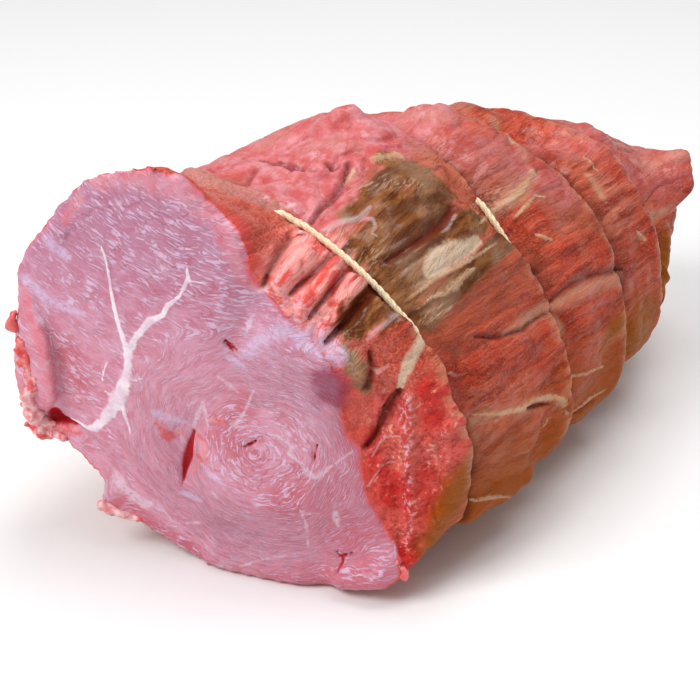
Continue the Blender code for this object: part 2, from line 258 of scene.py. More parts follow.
# The right edge of the cut face, which the strands and the corner meet.
FACE_EDGE = [
    (215, 197), (240, 235), (262, 287), (300, 325), (330, 356), (345, 384), (343, 404), (342, 421),
    (349, 438), (361, 448), (363, 476), (367, 495), (382, 522), (397, 549), (406, 572),
]

# The larger fields of colour on the sides. The slab is the side's flat strip behind the cut face.
SLAB = [
    [(160, 169, 3), (180, 174, 4), (205, 188, 5), (232, 206, 7), (250, 230, 8), (262, 256, 7),
     (267, 278, 3)],
    [(240, 197, 4), (268, 212, 6), (282, 226, 6), (280, 244, 4)],
]
SLAB_GREY = [
    [(166, 170, 2.5), (186, 174, 3.8), (210, 181, 5.0), (235, 192, 4.8), (258, 203, 3.4), (278, 211, 1.6)],
]
STRANDS = [
    [(268, 294, 4), (290, 274, 6), (312, 250, 6)],
    [(292, 318, 4), (318, 290, 6), (340, 258, 6)],
    [(318, 342, 4), (340, 312, 5), (360, 280, 4)],
]
# Where the threads on the side climb as they run back.
CLIMBING = [
    [(268, 300, 7), (300, 268, 9), (330, 238, 7)],
    [(300, 330, 7), (340, 290, 9), (380, 240, 10), (420, 200, 10), (456, 186, 6)],
    [(345, 350, 7), (390, 290, 10), (440, 230, 10)],
    [(390, 330, 7), (430, 280, 9), (475, 225, 8)],
]
CLIMB_START = (345, 335)
CLIMB_STOP = (442, 212)
# Painted highlights: lilac-white glints along the ridge at the corner and on the top.
PAINTED_GLINTS = [
    [(403, 396, 1.0), (404, 420, 1.6), (406, 455, 1.2), (407, 493, 1.1), (407, 543, 0.8)],
    [(266, 199, 0.8), (287, 206, 1.6), (297, 210, 0.8)],
    [(247, 205, 0.6), (252, 206, 0.6)],
    [(318, 233, 1.2), (333, 236, 1.8), (346, 240, 1.0)],
]
TOP_PINK = [
    [(205, 168, 8), (250, 152, 12), (290, 150, 15), (340, 130, 17), (400, 118, 13), (440, 112, 8)],
    [(215, 160, 8), (240, 148, 14), (264, 136, 18), (290, 122, 18), (320, 114, 14)],
    [(270, 190, 10), (305, 200, 11), (335, 185, 10)],
    [(262, 300, 3), (290, 300, 6), (312, 275, 6), (330, 256, 4)],
]
FAR_ROSE = [
    [(540, 128, 6), (580, 138, 8), (620, 160, 9), (650, 165, 10)],
    [(460, 150, 7), (500, 150, 8), (560, 190, 6)],
]
DRIED_PATCH = [
    [(388, 160, 3), (404, 168, 5), (426, 180, 6), (452, 192, 3)],
    [(390, 184, 6), (368, 203, 5), (350, 214, 3)],
    [(425, 205, 8), (405, 225, 9), (380, 240, 7), (365, 250, 5)],
    [(440, 218, 8), (425, 245, 8), (405, 268, 8), (385, 285, 6), (370, 305, 6), (352, 325, 4)],
    [(480, 218, 4), (455, 234, 6), (430, 262, 6), (410, 292, 5), (392, 312, 4)],
    [(344, 350, 1.6), (352, 362, 2.6), (360, 374, 2.6), (364, 388, 1.6)],
    [(500, 245, 3), (480, 262, 3), (440, 300, 3), (425, 318, 3)],
]
DRIED_DARK = [
    [(388, 262, 2.5), (416, 241, 3.5), (443, 222, 3.5), (454, 206, 2.5)],
    [(385, 217, 1.5), (416, 201, 1.5), (452, 196, 1.2)],
    [(345, 325, 1.5), (361, 302, 1.8), (376, 285, 1.5)],
]
FROSTED = [
    [(478, 214, 3.0), (500, 198, 3.2), (522, 184, 2.4)],
    [(333, 232, 1.5), (340, 234, 2.2), (346, 238, 1.0)],
    [(366, 262, 2.0), (374, 255, 2.6), (382, 249, 1.6)],
    [(335, 345, 1.6), (345, 352, 3.0), (357, 362, 2.4)],
    [(424, 321, 1.2), (437, 313, 1.8), (449, 307, 1.0)],
    [(352, 190, 1.4), (385, 182, 2.2), (420, 184, 1.6)],
]
BRIGHT_CORNER = [
    [(383, 400, 2.5), (388, 420, 5), (392, 465, 6.5), (400, 515, 6), (406, 556, 4)],
    [(425, 392, 4), (438, 420, 7), (436, 465, 7), (424, 510, 5), (414, 545, 3)],
]
PURPLE = [
    [(280, 159, 0.5), (291, 164, 0.9), (303, 168, 0.5)],
    [(318, 376, 2.0), (330, 388, 4.5), (338, 400, 2.0)],
]
CREAM_FAT = [
    [(374, 158, 0.9), (384, 155, 1.2), (397, 153, 1.0), (404, 157, 0.5)],
    [(346, 180, 0.4), (351, 173, 0.8), (354, 168, 0.4)],
    [(405, 301, 0.3), (416, 293, 0.4), (437, 278, 0.5), (460, 266, 0.5), (483, 252, 0.4), (494, 244, 0.2)],
    [(416, 310, 0.2), (428, 299, 0.4), (445, 293, 0.6), (455, 286, 1.1), (467, 273, 0.7), (475, 268, 0.3)],
    [(478, 225, 0.3), (492, 212, 0.7), (506, 203, 0.6), (520, 192, 1.0), (530, 178, 0.6), (533, 172, 0.9)],
    [(512, 220, 0.3), (525, 207, 0.6), (536, 195, 0.4), (545, 197, 0.4)],
    [(468, 414, 0.2), (498, 415, 0.4), (523, 409, 0.7), (534, 400, 0.6), (550, 397, 0.8), (557, 404, 1.0)],
    [(552, 418, 0.5), (553, 432, 0.4), (548, 446, 0.3)],
    [(462, 492, 0.3), (480, 490, 0.5), (505, 488, 0.4), (530, 478, 0.3)],
    [(558, 411, 0.3), (580, 404, 0.5), (600, 392, 0.4), (613, 372, 0.3)],
    [(559, 376, 0.3), (584, 374, 0.4), (603, 366, 0.3)],
    [(502, 128, 0.4), (511, 138, 0.6), (518, 146, 0.3)],
    [(583, 152, 0.3), (590, 158, 0.5), (598, 172, 0.3)],
    [(533, 236, 0.3), (543, 238, 0.6), (553, 239, 0.3)],
    [(636, 232, 0.4), (641, 240, 0.7), (648, 246, 0.4)],
]
# Pale tan membrane; along the lobes' edges at the lower right it is partly a painted highlight.
MEMBRANE_AND_EDGE_LIGHT = [
    [(506, 334, 0.8), (521, 325, 1.6), (536, 312, 1.6), (556, 330, 1.2)],
    [(548, 308, 1.2), (570, 296, 2.2), (596, 284, 2.4), (612, 276, 1.5)],
    [(609, 288, 1.0), (613, 308, 1.3), (610, 334, 1.2), (600, 366, 1.0)],
    [(553, 352, 0.9), (557, 380, 1.2), (554, 408, 1.0)],
    [(500, 205, 2.0), (520, 192, 3.0), (534, 176, 2.2)],
    [(470, 420, 1.2), (500, 414, 1.8), (540, 402, 1.8)],
    [(588, 176, 1.2), (597, 184, 2.0), (602, 196, 1.2)],
    [(632, 160, 1.0), (650, 164, 2.4), (664, 160, 2.0)],
    [(636, 214, 1.2), (652, 218, 2.0), (668, 210, 1.4)],
    [(484, 100, 1.2), (500, 122, 2.2), (520, 146, 2.2), (526, 160, 1.2)],
]
BROWNED = [
    [(425, 335, 6), (455, 306, 9), (490, 286, 9), (520, 272, 6)],
    [(450, 166, 6), (480, 160, 8), (510, 164, 8), (540, 184, 6)],
    [(556, 194, 6), (580, 218, 6), (596, 244, 5)],
]
# Painted light: a warm yellow-brown tint low on the right, for light bounced up from below.
PAINTED_BOUNCE = [
    [(458, 424, 1.5), (457, 460, 3.0), (448, 500, 3.6), (436, 530, 3.6), (420, 560, 3.0)],
    [(606, 334, 2.5), (614, 306, 2.0), (613, 290, 1.0)],
    [(540, 470, 5), (556, 436, 5)],
    [(630, 340, 7), (648, 318, 7), (658, 280, 5), (662, 240, 4)],
]
CREAM_PATCH = [
    [(428, 272, 1.4), (437, 262, 3.0), (447, 254, 3.4), (463, 249, 2.6), (480, 240, 1.4)],
    [(398, 388, 0.6), (400, 376, 1.1), (405, 362, 1.2), (409, 349, 1.2), (407, 342, 0.6)],
]
SILVERSKIN = [
    [(322, 229, 0.4), (333, 225, 0.9), (348, 219, 1.0), (361, 216, 0.8), (371, 206, 0.4)],
    [(361, 217, 0.4), (373, 218, 0.5), (376, 226, 0.4), (371, 233, 0.3), (377, 236, 0.3)],
    [(299, 253, 0.3), (288, 266, 0.4), (275, 281, 0.5), (260, 293, 0.6)],
    [(365, 340, 0.4), (372, 331, 0.5), (382, 323, 0.6), (396, 316, 0.5), (403, 314, 0.3)],
    [(281, 205, 0.5), (288, 208, 0.8), (295, 204, 0.5)],
    [(443, 231, 0.3), (450, 226, 0.4), (456, 214, 0.3)],
    [(370, 368, 0.3), (377, 372, 0.5), (386, 366, 0.3)],
    [(368, 486, 0.3), (376, 475, 0.3), (384, 464, 0.2)],
    [(372, 457, 0.25), (384, 438, 0.3), (403, 433, 0.2)],
    [(384, 467, 0.25), (395, 462, 0.3), (404, 456, 0.2)],
]

# Relief on the sides: how deep each groove is, or how high each ridge, in millimetres, with the
# strokes that it follows.
GROOVES = [
    (1.8, [(292, 294, 0.8), (305, 281, 1.6), (320, 267, 1.6), (334, 256, 0.8)]),
    (2.0, [(310, 318, 0.8), (326, 297, 1.8), (340, 279, 1.8), (353, 262, 0.9)]),
    (3.0, [(328, 342, 1.0), (346, 322, 2.2), (361, 302, 2.4), (378, 284, 1.2)]),
    (2.4, [(369, 352, 0.8), (373, 368, 1.6), (366, 388, 1.6)]),
    (3.4, [(398, 391, 1.2), (390, 410, 2.6), (378, 434, 2.8), (366, 448, 1.4)]),
    (2.0, [(262, 288, 0.8), (272, 268, 1.8), (282, 248, 2.2), (290, 238, 1.6)]),
    (2.2, [(262, 158, 0.8), (278, 157, 1.4), (289, 163, 2.0), (303, 168, 1.2), (316, 169, 0.6)]),
    (2.2, [(349, 163, 1.4), (346, 176, 1.6), (338, 191, 1.8), (322, 206, 1.4), (312, 221, 0.8)]),
    (1.2, [(327, 162, 1.0), (333, 166, 1.6), (339, 165, 0.8)]),
    (1.2, [(234, 186, 0.8), (243, 187, 1.4), (252, 176, 1.0), (259, 167, 0.6)]),
    (0.9, [(205, 168, 0.8), (221, 169, 1.2), (232, 166, 0.6)]),
    (1.6, [(386, 262, 1.0), (416, 242, 2.0), (443, 223, 2.4), (454, 208, 1.6)]),
    (1.2, [(477, 336, 0.8), (500, 337, 1.4), (524, 329, 1.4), (538, 312, 0.8)]),
    (1.6, [(528, 408, 0.6), (538, 406, 1.2), (548, 403, 0.6)]),
    (1.2, [(545, 303, 0.8), (563, 290, 2.6), (584, 278, 2.8), (601, 272, 2.4), (616, 270, 0.8)]),
    (1.4, [(556, 418, 0.8), (580, 410, 1.6), (600, 398, 1.4), (612, 380, 0.8)]),
    (2.4, [(638, 222, 0.8), (643, 236, 1.6), (648, 254, 1.2)]),
    (3.0, [(646, 258, 0.8), (650, 278, 1.8), (653, 300, 1.0)]),
]
RIDGES = [
    (1.8, [(403, 398, 2.4), (406, 430, 3.4), (407, 493, 3.4), (408, 545, 2.4)]),
    (1.6, [(272, 296, 3.0), (290, 270, 4.5), (305, 254, 3.5)]),
    (1.2, [(300, 312, 3.0), (318, 290, 3.5), (336, 266, 3.0)]),
    (1.0, [(322, 335, 2.5), (342, 306, 3.5), (360, 280, 2.5)]),
    (2.0, [(340, 350, 3.0), (352, 368, 4.5), (362, 380, 3.0)]),
    (1.8, [(375, 340, 4.0), (388, 334, 5.0), (400, 328, 3.0)]),
    (0.9, [(180, 170, 3.0), (209, 180, 4.0), (237, 190, 4.0), (262, 199, 3.5), (284, 212, 2.5)]),
    (1.2, [(640, 245, 1.2), (652, 262, 2.2), (664, 290, 1.6)]),
    (3.0, [(425, 112, 9), (450, 112, 11), (480, 112, 12)]),
    (1.8, [(168, 177, 9), (190, 182, 9)]),
    (3.4, [(462, 505, 9), (500, 490, 10), (522, 474, 7)]),
    (3.2, [(652, 318, 8), (658, 270, 8), (662, 235, 6)]),
    (3.0, [(668, 165, 7), (671, 190, 7)]),
    (2.4, [(588, 132, 8), (600, 140, 8)]),
    (-5.4, [(250, 144, 7), (268, 131, 16), (286, 121, 22), (300, 116, 8)]),
    (3.0, [(320, 118, 6), (336, 112, 8), (350, 112, 5)]),
    (-4.6, [(514, 117, 9), (536, 121, 11)]),
    (-6.4, [(508, 116, 12), (530, 119, 26), (548, 122, 22), (564, 127, 10)]),
    (-3.8, [(362, 111, 6), (374, 113, 9), (386, 114, 7)]),
    (-4.0, [(556, 430, 11), (546, 447, 11)]),
    (-3.6, [(614, 364, 11), (604, 382, 11)]),
]
# Places pulled in one direction, which is given in millimetres along X, Y and Z.
PULLS = [
    ((4.6, 0.0, 0.0), [(14, 318, 12), (16, 350, 13), (24, 390, 11)]),
    ((3.4, 0.0, 0.0), [(22, 342, 9), (26, 362, 10), (30, 386, 9)]),
    ((2.8, 0.0, 5.6), [(68, 440, 8), (84, 458, 12), (98, 474, 12)]),
    ((-3.4, -1.0, -5.4), [(113, 497, 4.5), (116, 502, 4.5)]),
    ((0.0, -3.0, 0.0), [(225, 557, 10), (260, 566, 12), (300, 573, 9)]),
    ((0.0, -4.0, 0.0), [(350, 575, 9), (385, 575, 9)]),
    ((2.6, 0.0, 0.0), [(40, 236, 8), (50, 224, 6)]),
    ((0.8, 0.0, -1.4), [(52, 218, 9), (66, 200, 8)]),
    ((2.6, 4.4, 0.6), [(668, 158, 6), (672, 176, 8), (670, 196, 6)]),
]

# Torn fat and flesh at the edges of the joint, as strings of lumps: pixels across and down, radius in
# millimetres and how fat each is, from 0 to 1.
SCRAPS = [
    [(17, 312, 0.8, 0.0), (13, 320, 1.5, 0.0), (12, 325, 1.9, 0.0), (18, 334, 1.6, 0.0)],
    [(21, 340, 1.2, 0.0), (25, 350, 1.5, 0.3), (26, 362, 1.7, 0.2), (30, 374, 1.6, 0.5),
     (32, 386, 1.6, 0.4), (32, 398, 1.9, 0.8), (36, 410, 2.2, 0.9), (42, 422, 2.1, 0.9),
     (54, 430, 2.0, 0.6), (68, 436, 1.4, 0.3)],
    [(24, 404, 1.2, 0.2), (30, 408, 1.4, 0.6)],
    [(30, 424, 1.2, 0.3), (38, 430, 1.5, 0.6), (52, 440, 1.2, 0.1)],
    [(103, 498, 0.8, 0.8), (106, 506, 1.6, 1.0), (116, 511, 1.6, 0.9), (130, 515, 1.2, 0.6),
     (146, 519, 0.8, 0.3)],
    [(398, 562, 0.9, 0.3), (402, 570, 1.1, 0.3), (404, 578, 0.8, 0.2), (405, 584, 0.5, 0.1)],
    [(295, 236, 0.7, 0.4), (300, 233, 1.0, 0.6), (306, 235, 0.7, 0.5)],
]
# How far apart the lumps are, how uneven, how deep they sink and what they drift and stretch by, in
# their own radii, and the net that joins them.
SCRAP_STEP = 1.1 * MM
SCRAP_LUMP = 0.5
SCRAP_SINK = 0.3
SCRAP_NET = 0.45 * MM
SCRAP_SEED = 7
SCRAP_DRIFT = 0.5
SCRAP_STRETCH = (0.6, 1.15)
SCRAP_KNURL = 1.4

# Where a loop of twine shows on the side that the picture gives. Elsewhere there the meat has
# closed over it.
TWINE_SHOWS = [
    [(288, 213, 2.6), (330, 240, 3.2), (370, 278, 3.2), (410, 322, 3.2), (444, 364, 2.4)],
    [(458, 189, 3.6), (485, 219, 4.2), (514, 251, 3.4)],
]
SHOWS_RUN = (0.8, 1.8)
# The meat is closed over the twine up to X = CLOSED_TO, and the twine lies sunk up to HIDDEN_TO.
CLOSED_TO = -14 * MM
CLOSED_RUN = 4 * MM
HIDDEN_TO = -30 * MM
TWINE_SINK = 2.2 * MM
# The lobes beside a loop: their height over the twine in the crease, how high the near and the far one
# rise, how far they reach, how long their step down to the crease is, and which way they lean.
LOBE_LEAN = (1.0, 0.35, 1.0)
COVER = 2.4 * MM
NEAR_RISE = 5.6 * MM
NEAR_REACH = 8.5 * MM
NEAR_STEP = 1.1 * MM
FAR_RISE = 2.6 * MM
FAR_REACH = 7.5 * MM
FAR_STEP = 2.6 * MM
# How wide the seat of twine that shows is, how far creases wander and how much lobes swell.
SEAT_NEAR = 4.4 * MM
SEAT_FAR = 2.8 * MM
WANDER = 2.6 * MM
SWELL = 0.35
# The heights over which the lobes and creases soften towards the top, and by how much.
SOFT_TOP = (64 * MM, 94 * MM)
SOFT_RISE = 0.6
SOFT_CREASE = 0.75
# Painted shade at a crease's bottom, a painted highlight on its brow and painted shade past it:
# how far past the loop each is, and its reach.
CREASE_PAST = 0.9 * MM
CREASE_REACH = 1.5 * MM
BROW_PAST = -2.6 * MM
BROW_REACH = 1.8 * MM
SHADE_REACH = 7.0 * MM

# The run of the grain on the cut face: round a far centre over most of it, and round a near one low
# on the right.
ARC_CENTRE = (290, -30)
SWIRL_CENTRE = (262, 452)
SWIRL_REACH = 24 * MM
SWIRL_RUFFLE = 2.6 * MM
SWIRL_RUN = (1.5 * SWIRL_REACH, 0.6 * SWIRL_REACH)

# The threads of muscle on the sides: each pattern's stretch along the joint, scale, detail and
# roughness, and how wide the gaps are. Then the stretch of the marks on the cut face, where the third
# value counts across the grain, and how deep the materials' fine bumps are.
THREAD_PATTERNS = {
    "Threads": (0.05, 1800.0, 3.0, 0.6),
    "Bundles": (0.10, 380.0, 3.0, 0.5),
    "Flecks": (0.22, 1500.0, 2.0, 0.5),
    "Gaps": (0.10, 520.0, 2.0, 0.5),
}
GAP_WIDTH = 0.035
LONG_DASH = (0.36, 0.36, 1.75)
SHORT_DASH = (0.60, 0.60, 1.9)
CRACK_CELL = (0.7, 0.7, 1.1)
FLESH_BUMP = 0.6 * MM
TWINE_BUMP = 0.2 * MM

# The studio: each light's place, size and power, and the spot that they aim at.
MIDDLE = (0.0, 0.0, 0.05)
LIGHTS = {
    "key": ((-0.25, -0.75, 0.85), 0.5, 8.0),
    "top": ((0.1, 0.2, 1.0), 0.6, 5.5),
}
SKY = 0.42
FLOOR_SIZE = 3.0
FLOOR_DROP = -0.1 * MM


def linear(value):
    """A light level from the 0 to 255 value that a screen shows."""
    value = value / 255
    return value / 12.92 if value <= 0.04045 else ((value + 0.055) / 1.055) ** 2.4


def colour(red, green, blue):
    return linear(red), linear(green), linear(blue), 1.0


def smooth_step(low, high, values):
    """0 below low, 1 above high and an even slope between, for an array. low may be above high."""
    share = np.clip((values - low) / (high - low), 0.0, 1.0)
    return share * share * (3 - 2 * share)


def new_object(name, data):
    piece = bpy.data.objects.new(name, data)
    bpy.context.scene.collection.objects.link(piece)
    return piece


def mesh_from(shape, name):
    mesh = bpy.data.meshes.new(name)
    shape.to_mesh(mesh)
    shape.free()
    return mesh


def apply_modifiers(piece):
    """Keeps what a piece's modifiers make as its own mesh."""
    graph = bpy.context.evaluated_depsgraph_get()
    made = bpy.data.meshes.new_from_object(piece.evaluated_get(graph))
    piece.modifiers.clear()
    piece.data = made
    return made


def merged_copy(node):
    """A copy of a node of the frame with its corners joined."""
    shape = bmesh.new()
    shape.from_mesh(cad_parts[node].data)
    bmesh.ops.remove_doubles(shape, verts=shape.verts, dist=MERGE)
    bmesh.ops.join_triangles(
        shape, faces=shape.faces, angle_face_threshold=FLAT_TURN, angle_shape_threshold=SQUARE_TURN
    )
    shape.normal_update()
    return shape


def fitted_plane(places):
    """The plane through places that says for X and Z where Y is."""
    known = np.c_[np.ones(len(places)), places[:, 0], places[:, 2]]
    return np.linalg.lstsq(known, places[:, 1], rcond=None)[0]


def past_plane(plane, places):
    """How far each place is behind a fitted plane, along Y."""
    return places[:, 1] - (plane[0] + plane[1] * places[:, 0] + plane[2] * places[:, 2])


def is_rim(edge):
    """True on the edge between the cut face and the sides."""
    if len(edge.link_faces) != 2:
        return False
    first, second = sorted(face.normal.y for face in edge.link_faces)
    return first < FACE_NORMAL and second > RIM_NORMAL


class Rim:
    """The outline of the cut face, seen along the joint, and the plane that it lies in."""

    def __init__(self, shape, drawn_edge):
        shape.verts.index_update()
        places = np.array([vert.co for vert in shape.verts])
        front = places[:, 1].min()
        edges = [edge for edge in shape.edges if is_rim(edge) and edge.verts[0].co.y < front + RIM_REACH]
        self.plane = fitted_plane(np.array([vert.co for edge in edges for vert in edge.verts]))
        behind = self.behind(places)
        middle = places[np.abs(behind) < RIM_SLACK].mean(axis=0)
        outer = {}
        for vert in shape.verts:
            arm = vert.co - Vector(middle)
            radius = math.hypot(arm.x, arm.z)
            if abs(behind[vert.index]) > RIM_SLACK or radius < RIM_LEAST:
                continue
            if not self.meets_side(vert, behind):
                continue
            sector = self.sector(middle, vert.co)
            if sector not in outer or radius > outer[sector][0]:
                outer[sector] = (radius, tuple(vert.co))
        first, last = (self.sector(middle, drawn_edge[end]) for end in (-1, 0))
        kept = [place for number, (radius, place) in outer.items() if not first <= number <= last]
        places = np.array(kept + [tuple(place) for place in drawn_edge])
        turn = np.arctan2(places[:, 2] - middle[2], places[:, 0] - middle[0])
        self.places = places[np.argsort(turn)]

    def sector(self, middle, place):
        turn = math.atan2(place[2] - middle[2], place[0] - middle[0])
        return math.floor(turn / (2 * math.pi) * RIM_SECTORS)

    def meets_side(self, vert, behind):
        """True where an edge runs back from the corner between two faces of the side."""
        for edge in vert.link_edges:
            run = behind[edge.other_vert(vert).index] - behind[vert.index]
            if run > SIDE_RUN and all(face.normal.y > SIDE_NORMAL for face in edge.link_faces):
                return True
        return False

    def behind(self, places):
        """How far each place is behind the plane."""
        return past_plane(self.plane, places)

    def inside(self, places):
        """How far each place is inside the outline, seen along the joint, and below 0 outside it."""
        x, z = places[:, 0], places[:, 2]
        crossings = np.zeros(len(places), bool)
        nearest = np.full(len(places), 1.0)
        for a, b in zip(self.places, np.roll(self.places, -1, axis=0)):
            level = (a[2] > z) != (b[2] > z)
            if level.any():
                cut = a[0] + (z - a[2]) * (b[0] - a[0]) / ((b[2] - a[2]) or MERGE)
                crossings ^= level & (x < cut)
            run_x, run_z = b[0] - a[0], b[2] - a[2]
            along = ((x - a[0]) * run_x + (z - a[2]) * run_z) / max(run_x ** 2 + run_z ** 2, TINY)
            along = np.clip(along, 0, 1)
            gap = np.hypot(x - a[0] - along * run_x, z - a[2] - along * run_z)
            nearest = np.minimum(nearest, gap)
        return np.where(crossings, nearest, -nearest)


def make_skin(shape, rim):
    """The even, smooth net over the solid that the sculpting starts from."""
    crease = shape.edges.layers.float.new("crease_edge")
    places = np.array([vert.co for vert in shape.verts])
    on_rim = (np.abs(rim.inside(places)) < CREASE_SLACK) & (np.abs(rim.behind(places)) < RIM_SLACK)
    shape.verts.index_update()
    for edge in shape.edges:
        if all(on_rim[vert.index] for vert in edge.verts):
            edge[crease] = 1.0
    meat = new_object("meat_joint", mesh_from(shape, "meat_joint"))
    rounding = meat.modifiers.new("rounding", "SUBSURF")
    rounding.levels = rounding.render_levels = 1
    net = meat.modifiers.new("net", "REMESH")
    net.mode = "VOXEL"
    net.voxel_size = SKIN_STEP
    easing = meat.modifiers.new("easing", "SMOOTH")
    easing.factor = 0.5
    easing.iterations = SKIN_SMOOTHING
    apply_modifiers(meat)
    return meat


def refine_seen_side(meat):
    """Halves the net's step on the side that the picture shows, which has the finest marks."""
    places = vertex_places(meat.data)
    normals = vertex_normals(meat.data)
    to_camera = np.array(CAMERA_PLACE) - places
    to_camera /= np.linalg.norm(to_camera, axis=1)[:, None]
    seen = (normals * to_camera).sum(axis=1) > SEEN_SLOPE
    shape = bmesh.new()
    shape.from_mesh(meat.data)
    edges = [edge for edge in shape.edges if all(seen[vert.index] for vert in edge.verts)]
    bmesh.ops.subdivide_edges(shape, edges=edges, cuts=1, use_grid_fill=True)
    bmesh.ops.triangulate(shape, faces=[face for face in shape.faces if len(face.verts) > 4])
    shape.to_mesh(meat.data)
    shape.free()


def vertex_places(mesh):
    places = np.empty(len(mesh.vertices) * 3)
    mesh.vertices.foreach_get("co", places)
    return places.reshape(-1, 3)


def vertex_normals(mesh):
    normals = np.empty(len(mesh.vertices) * 3)
    mesh.vertex_normals.foreach_get("vector", normals)
    return normals.reshape(-1, 3)


class Camera:
    """Finds the place on the meat behind a pixel of the picture."""

    def __init__(self, mesh):
        self.ahead = CAMERA_AIM.normalized()
        self.right = self.ahead.cross(Vector((0, 0, 1))).normalized()
        self.up = self.right.cross(self.ahead)
        self.focal = LENS / SENSOR * PICTURE
        self.tree = BVHTree.FromPolygons(
            [vert.co for vert in mesh.vertices], [face.vertices for face in mesh.polygons]
        )

    def way(self, across, down):
        right = (across - PICTURE / 2) / self.focal
        up = (PICTURE / 2 - down) / self.focal
        return (self.ahead + self.right * right + self.up * up).normalized()

    def place(self, across, down):
        return self.tree.ray_cast(CAMERA_PLACE, self.way(across, down))[0]

    def near(self, across, down):
        """The place behind a pixel, or level with the nearest place towards the picture's middle."""
        for share in INWARD_STEPS:
            x = across + (PICTURE / 2 - across) * share
            y = down + (PICTURE / 2 - down) * share
            spot = self.place(x, y)
            if spot is not None:
                scale = (spot - CAMERA_PLACE).length / self.focal
                return spot + (self.right * (across - x) - self.up * (down - y)) * scale
        return None

    def on_face(self, across, down, rim):
        """Where the sight line meets the plane of the cut face, as X and Z."""
        way = self.way(across, down)
        start = rim.behind(np.array([CAMERA_PLACE]))[0]
        run = rim.behind(np.array([CAMERA_PLACE + way]))[0] - start
        spot = CAMERA_PLACE - way * (start / run)
        return np.array((spot.x, spot.z))

    def drawn(self, stroke):
        """A stroke's points laid on the meat, close together, with half their widths in metres."""
        line = []
        for (x0, y0, w0), (x1, y1, w1) in zip(stroke, stroke[1:]):
            steps = max(1, round(math.hypot(x1 - x0, y1 - y0) / LEG_STEP))
            for step in range(steps + 1):
                share = step / steps
                spot = self.place(x0 + (x1 - x0) * share, y0 + (y1 - y0) * share)
                if spot is not None:
                    line.append((*spot, (w0 + (w1 - w0) * share) * MM))
        return np.array(line)


def stroke_field(places, lines):
    """How far each place is from the nearest line, counted in half widths of that line.

    A leg that jumps over a gap in what the camera sees counts only as its first end."""
    field = np.full(len(places), FAR)
    for line in lines:
        for start, stop in zip(line, line[1:]):
            run = stop[:3] - start[:3]
            if np.linalg.norm(run) > LONGEST_LEG:
                run = np.zeros(3)
            reach = FAR * max(start[3], stop[3])
            low = np.minimum(start[:3], start[:3] + run) - reach
            high = np.maximum(start[:3], start[:3] + run) + reach
            near = np.nonzero(((places > low) & (places < high)).all(axis=1))[0]
            gap = places[near] - start[:3]
            along = np.clip(gap @ run / max(run @ run, TINY), 0, 1)
            away = np.linalg.norm(gap - along[:, None] * run, axis=1)
            width = start[3] + (stop[3] - start[3]) * along
            field[near] = np.minimum(field[near], away / width)
    return field


def rippled(places, size, stretch, start):
    """Smooth noise from -1 to 1 at each place, as one of the patterns of noise gives it."""
    scaled = places / size / np.array(stretch) + start
    return np.array([noise.noise(place) for place in scaled])


def set_attribute(mesh, name, values):
    """Keeps a number, or a vector, for each vertex."""
    kind, key = ("FLOAT", "value") if values.ndim == 1 else ("FLOAT_VECTOR", "vector")
    attribute = mesh.attributes.new(name, kind, "POINT")
    attribute.data.foreach_set(key, values.astype(np.float32).ravel())


def shade_smooth(mesh):
    mesh.polygons.foreach_set("use_smooth", np.ones(len(mesh.polygons), bool))


def grain_frame(camera, places, rim):
    """Places on the cut face with the distance across its grain as the third value, in millimetres.

    Over most of the face the grain runs round a far centre. Low on the right it turns round a near
    one."""
    flat = places[:, [0, 2]]
    far_radius = np.linalg.norm(flat - camera.on_face(*ARC_CENTRE, rim), axis=1)
    near_radius = np.linalg.norm(flat - camera.on_face(*SWIRL_CENTRE, rim), axis=1)
    near_radius += SWIRL_RUFFLE * rippled(places, *GRAIN_RUFFLE)
    swirl = smooth_step(*SWIRL_RUN, near_radius)
    across = far_radius * (1 - swirl) + near_radius * swirl
    return np.c_[flat, across] / MM


PAINT = {
    "vein": BIG_VEIN,
    "small_vein": SMALL_VEINS,
    "lilac": LILAC_PATCHES,
    "slit": SLITS,
    "lip": SLIT_LIPS,
    "pink": TOP_PINK,
    "rose": FAR_ROSE,
    "dried": DRIED_PATCH,
    "dried_dark": DRIED_DARK,
    "frosted": FROSTED,
    "bright": BRIGHT_CORNER,
    "dense": DENSE_GRAIN,
    "blush": BLUSH,
    "edge_pink": EDGE_PINK,
    "torn": TORN_TISSUE,
    "face_more": FACE_MORE,
    "slab": SLAB,
    "slab_grey": SLAB_GREY,
    "strands": STRANDS,
    "climbing": CLIMBING,
    "painted_glints": PAINTED_GLINTS,
    "purple": PURPLE,
    "fat": CREAM_FAT,
    "silver": SILVERSKIN,
    "cream": CREAM_PATCH,
    "membrane_and_edge_light": MEMBRANE_AND_EDGE_LIGHT,
    "painted_bounce": PAINTED_BOUNCE,
    "browned": BROWNED,
}


def closed_share(places, camera, last=CLOSED_TO):
    """1 where the meat has closed over the twine, 0 where the twine shows or X is less than last."""
    shows = stroke_field(places, [camera.drawn(stroke) for stroke in TWINE_SHOWS])
    return smooth_step(*SHOWS_RUN, shows) * smooth_step(last - CLOSED_RUN, last, places[:, 0])


def lobe(away, height, reach, step):
    """The height of a swelling beside a crease. At the crease it drops to COVER within a short step."""
    return height * np.exp(-(away / reach) ** 2) - (height - COVER) * np.exp(-away / step)


def bell(past, centre, reach):
    return np.exp(-((past - centre) / reach) ** 2)


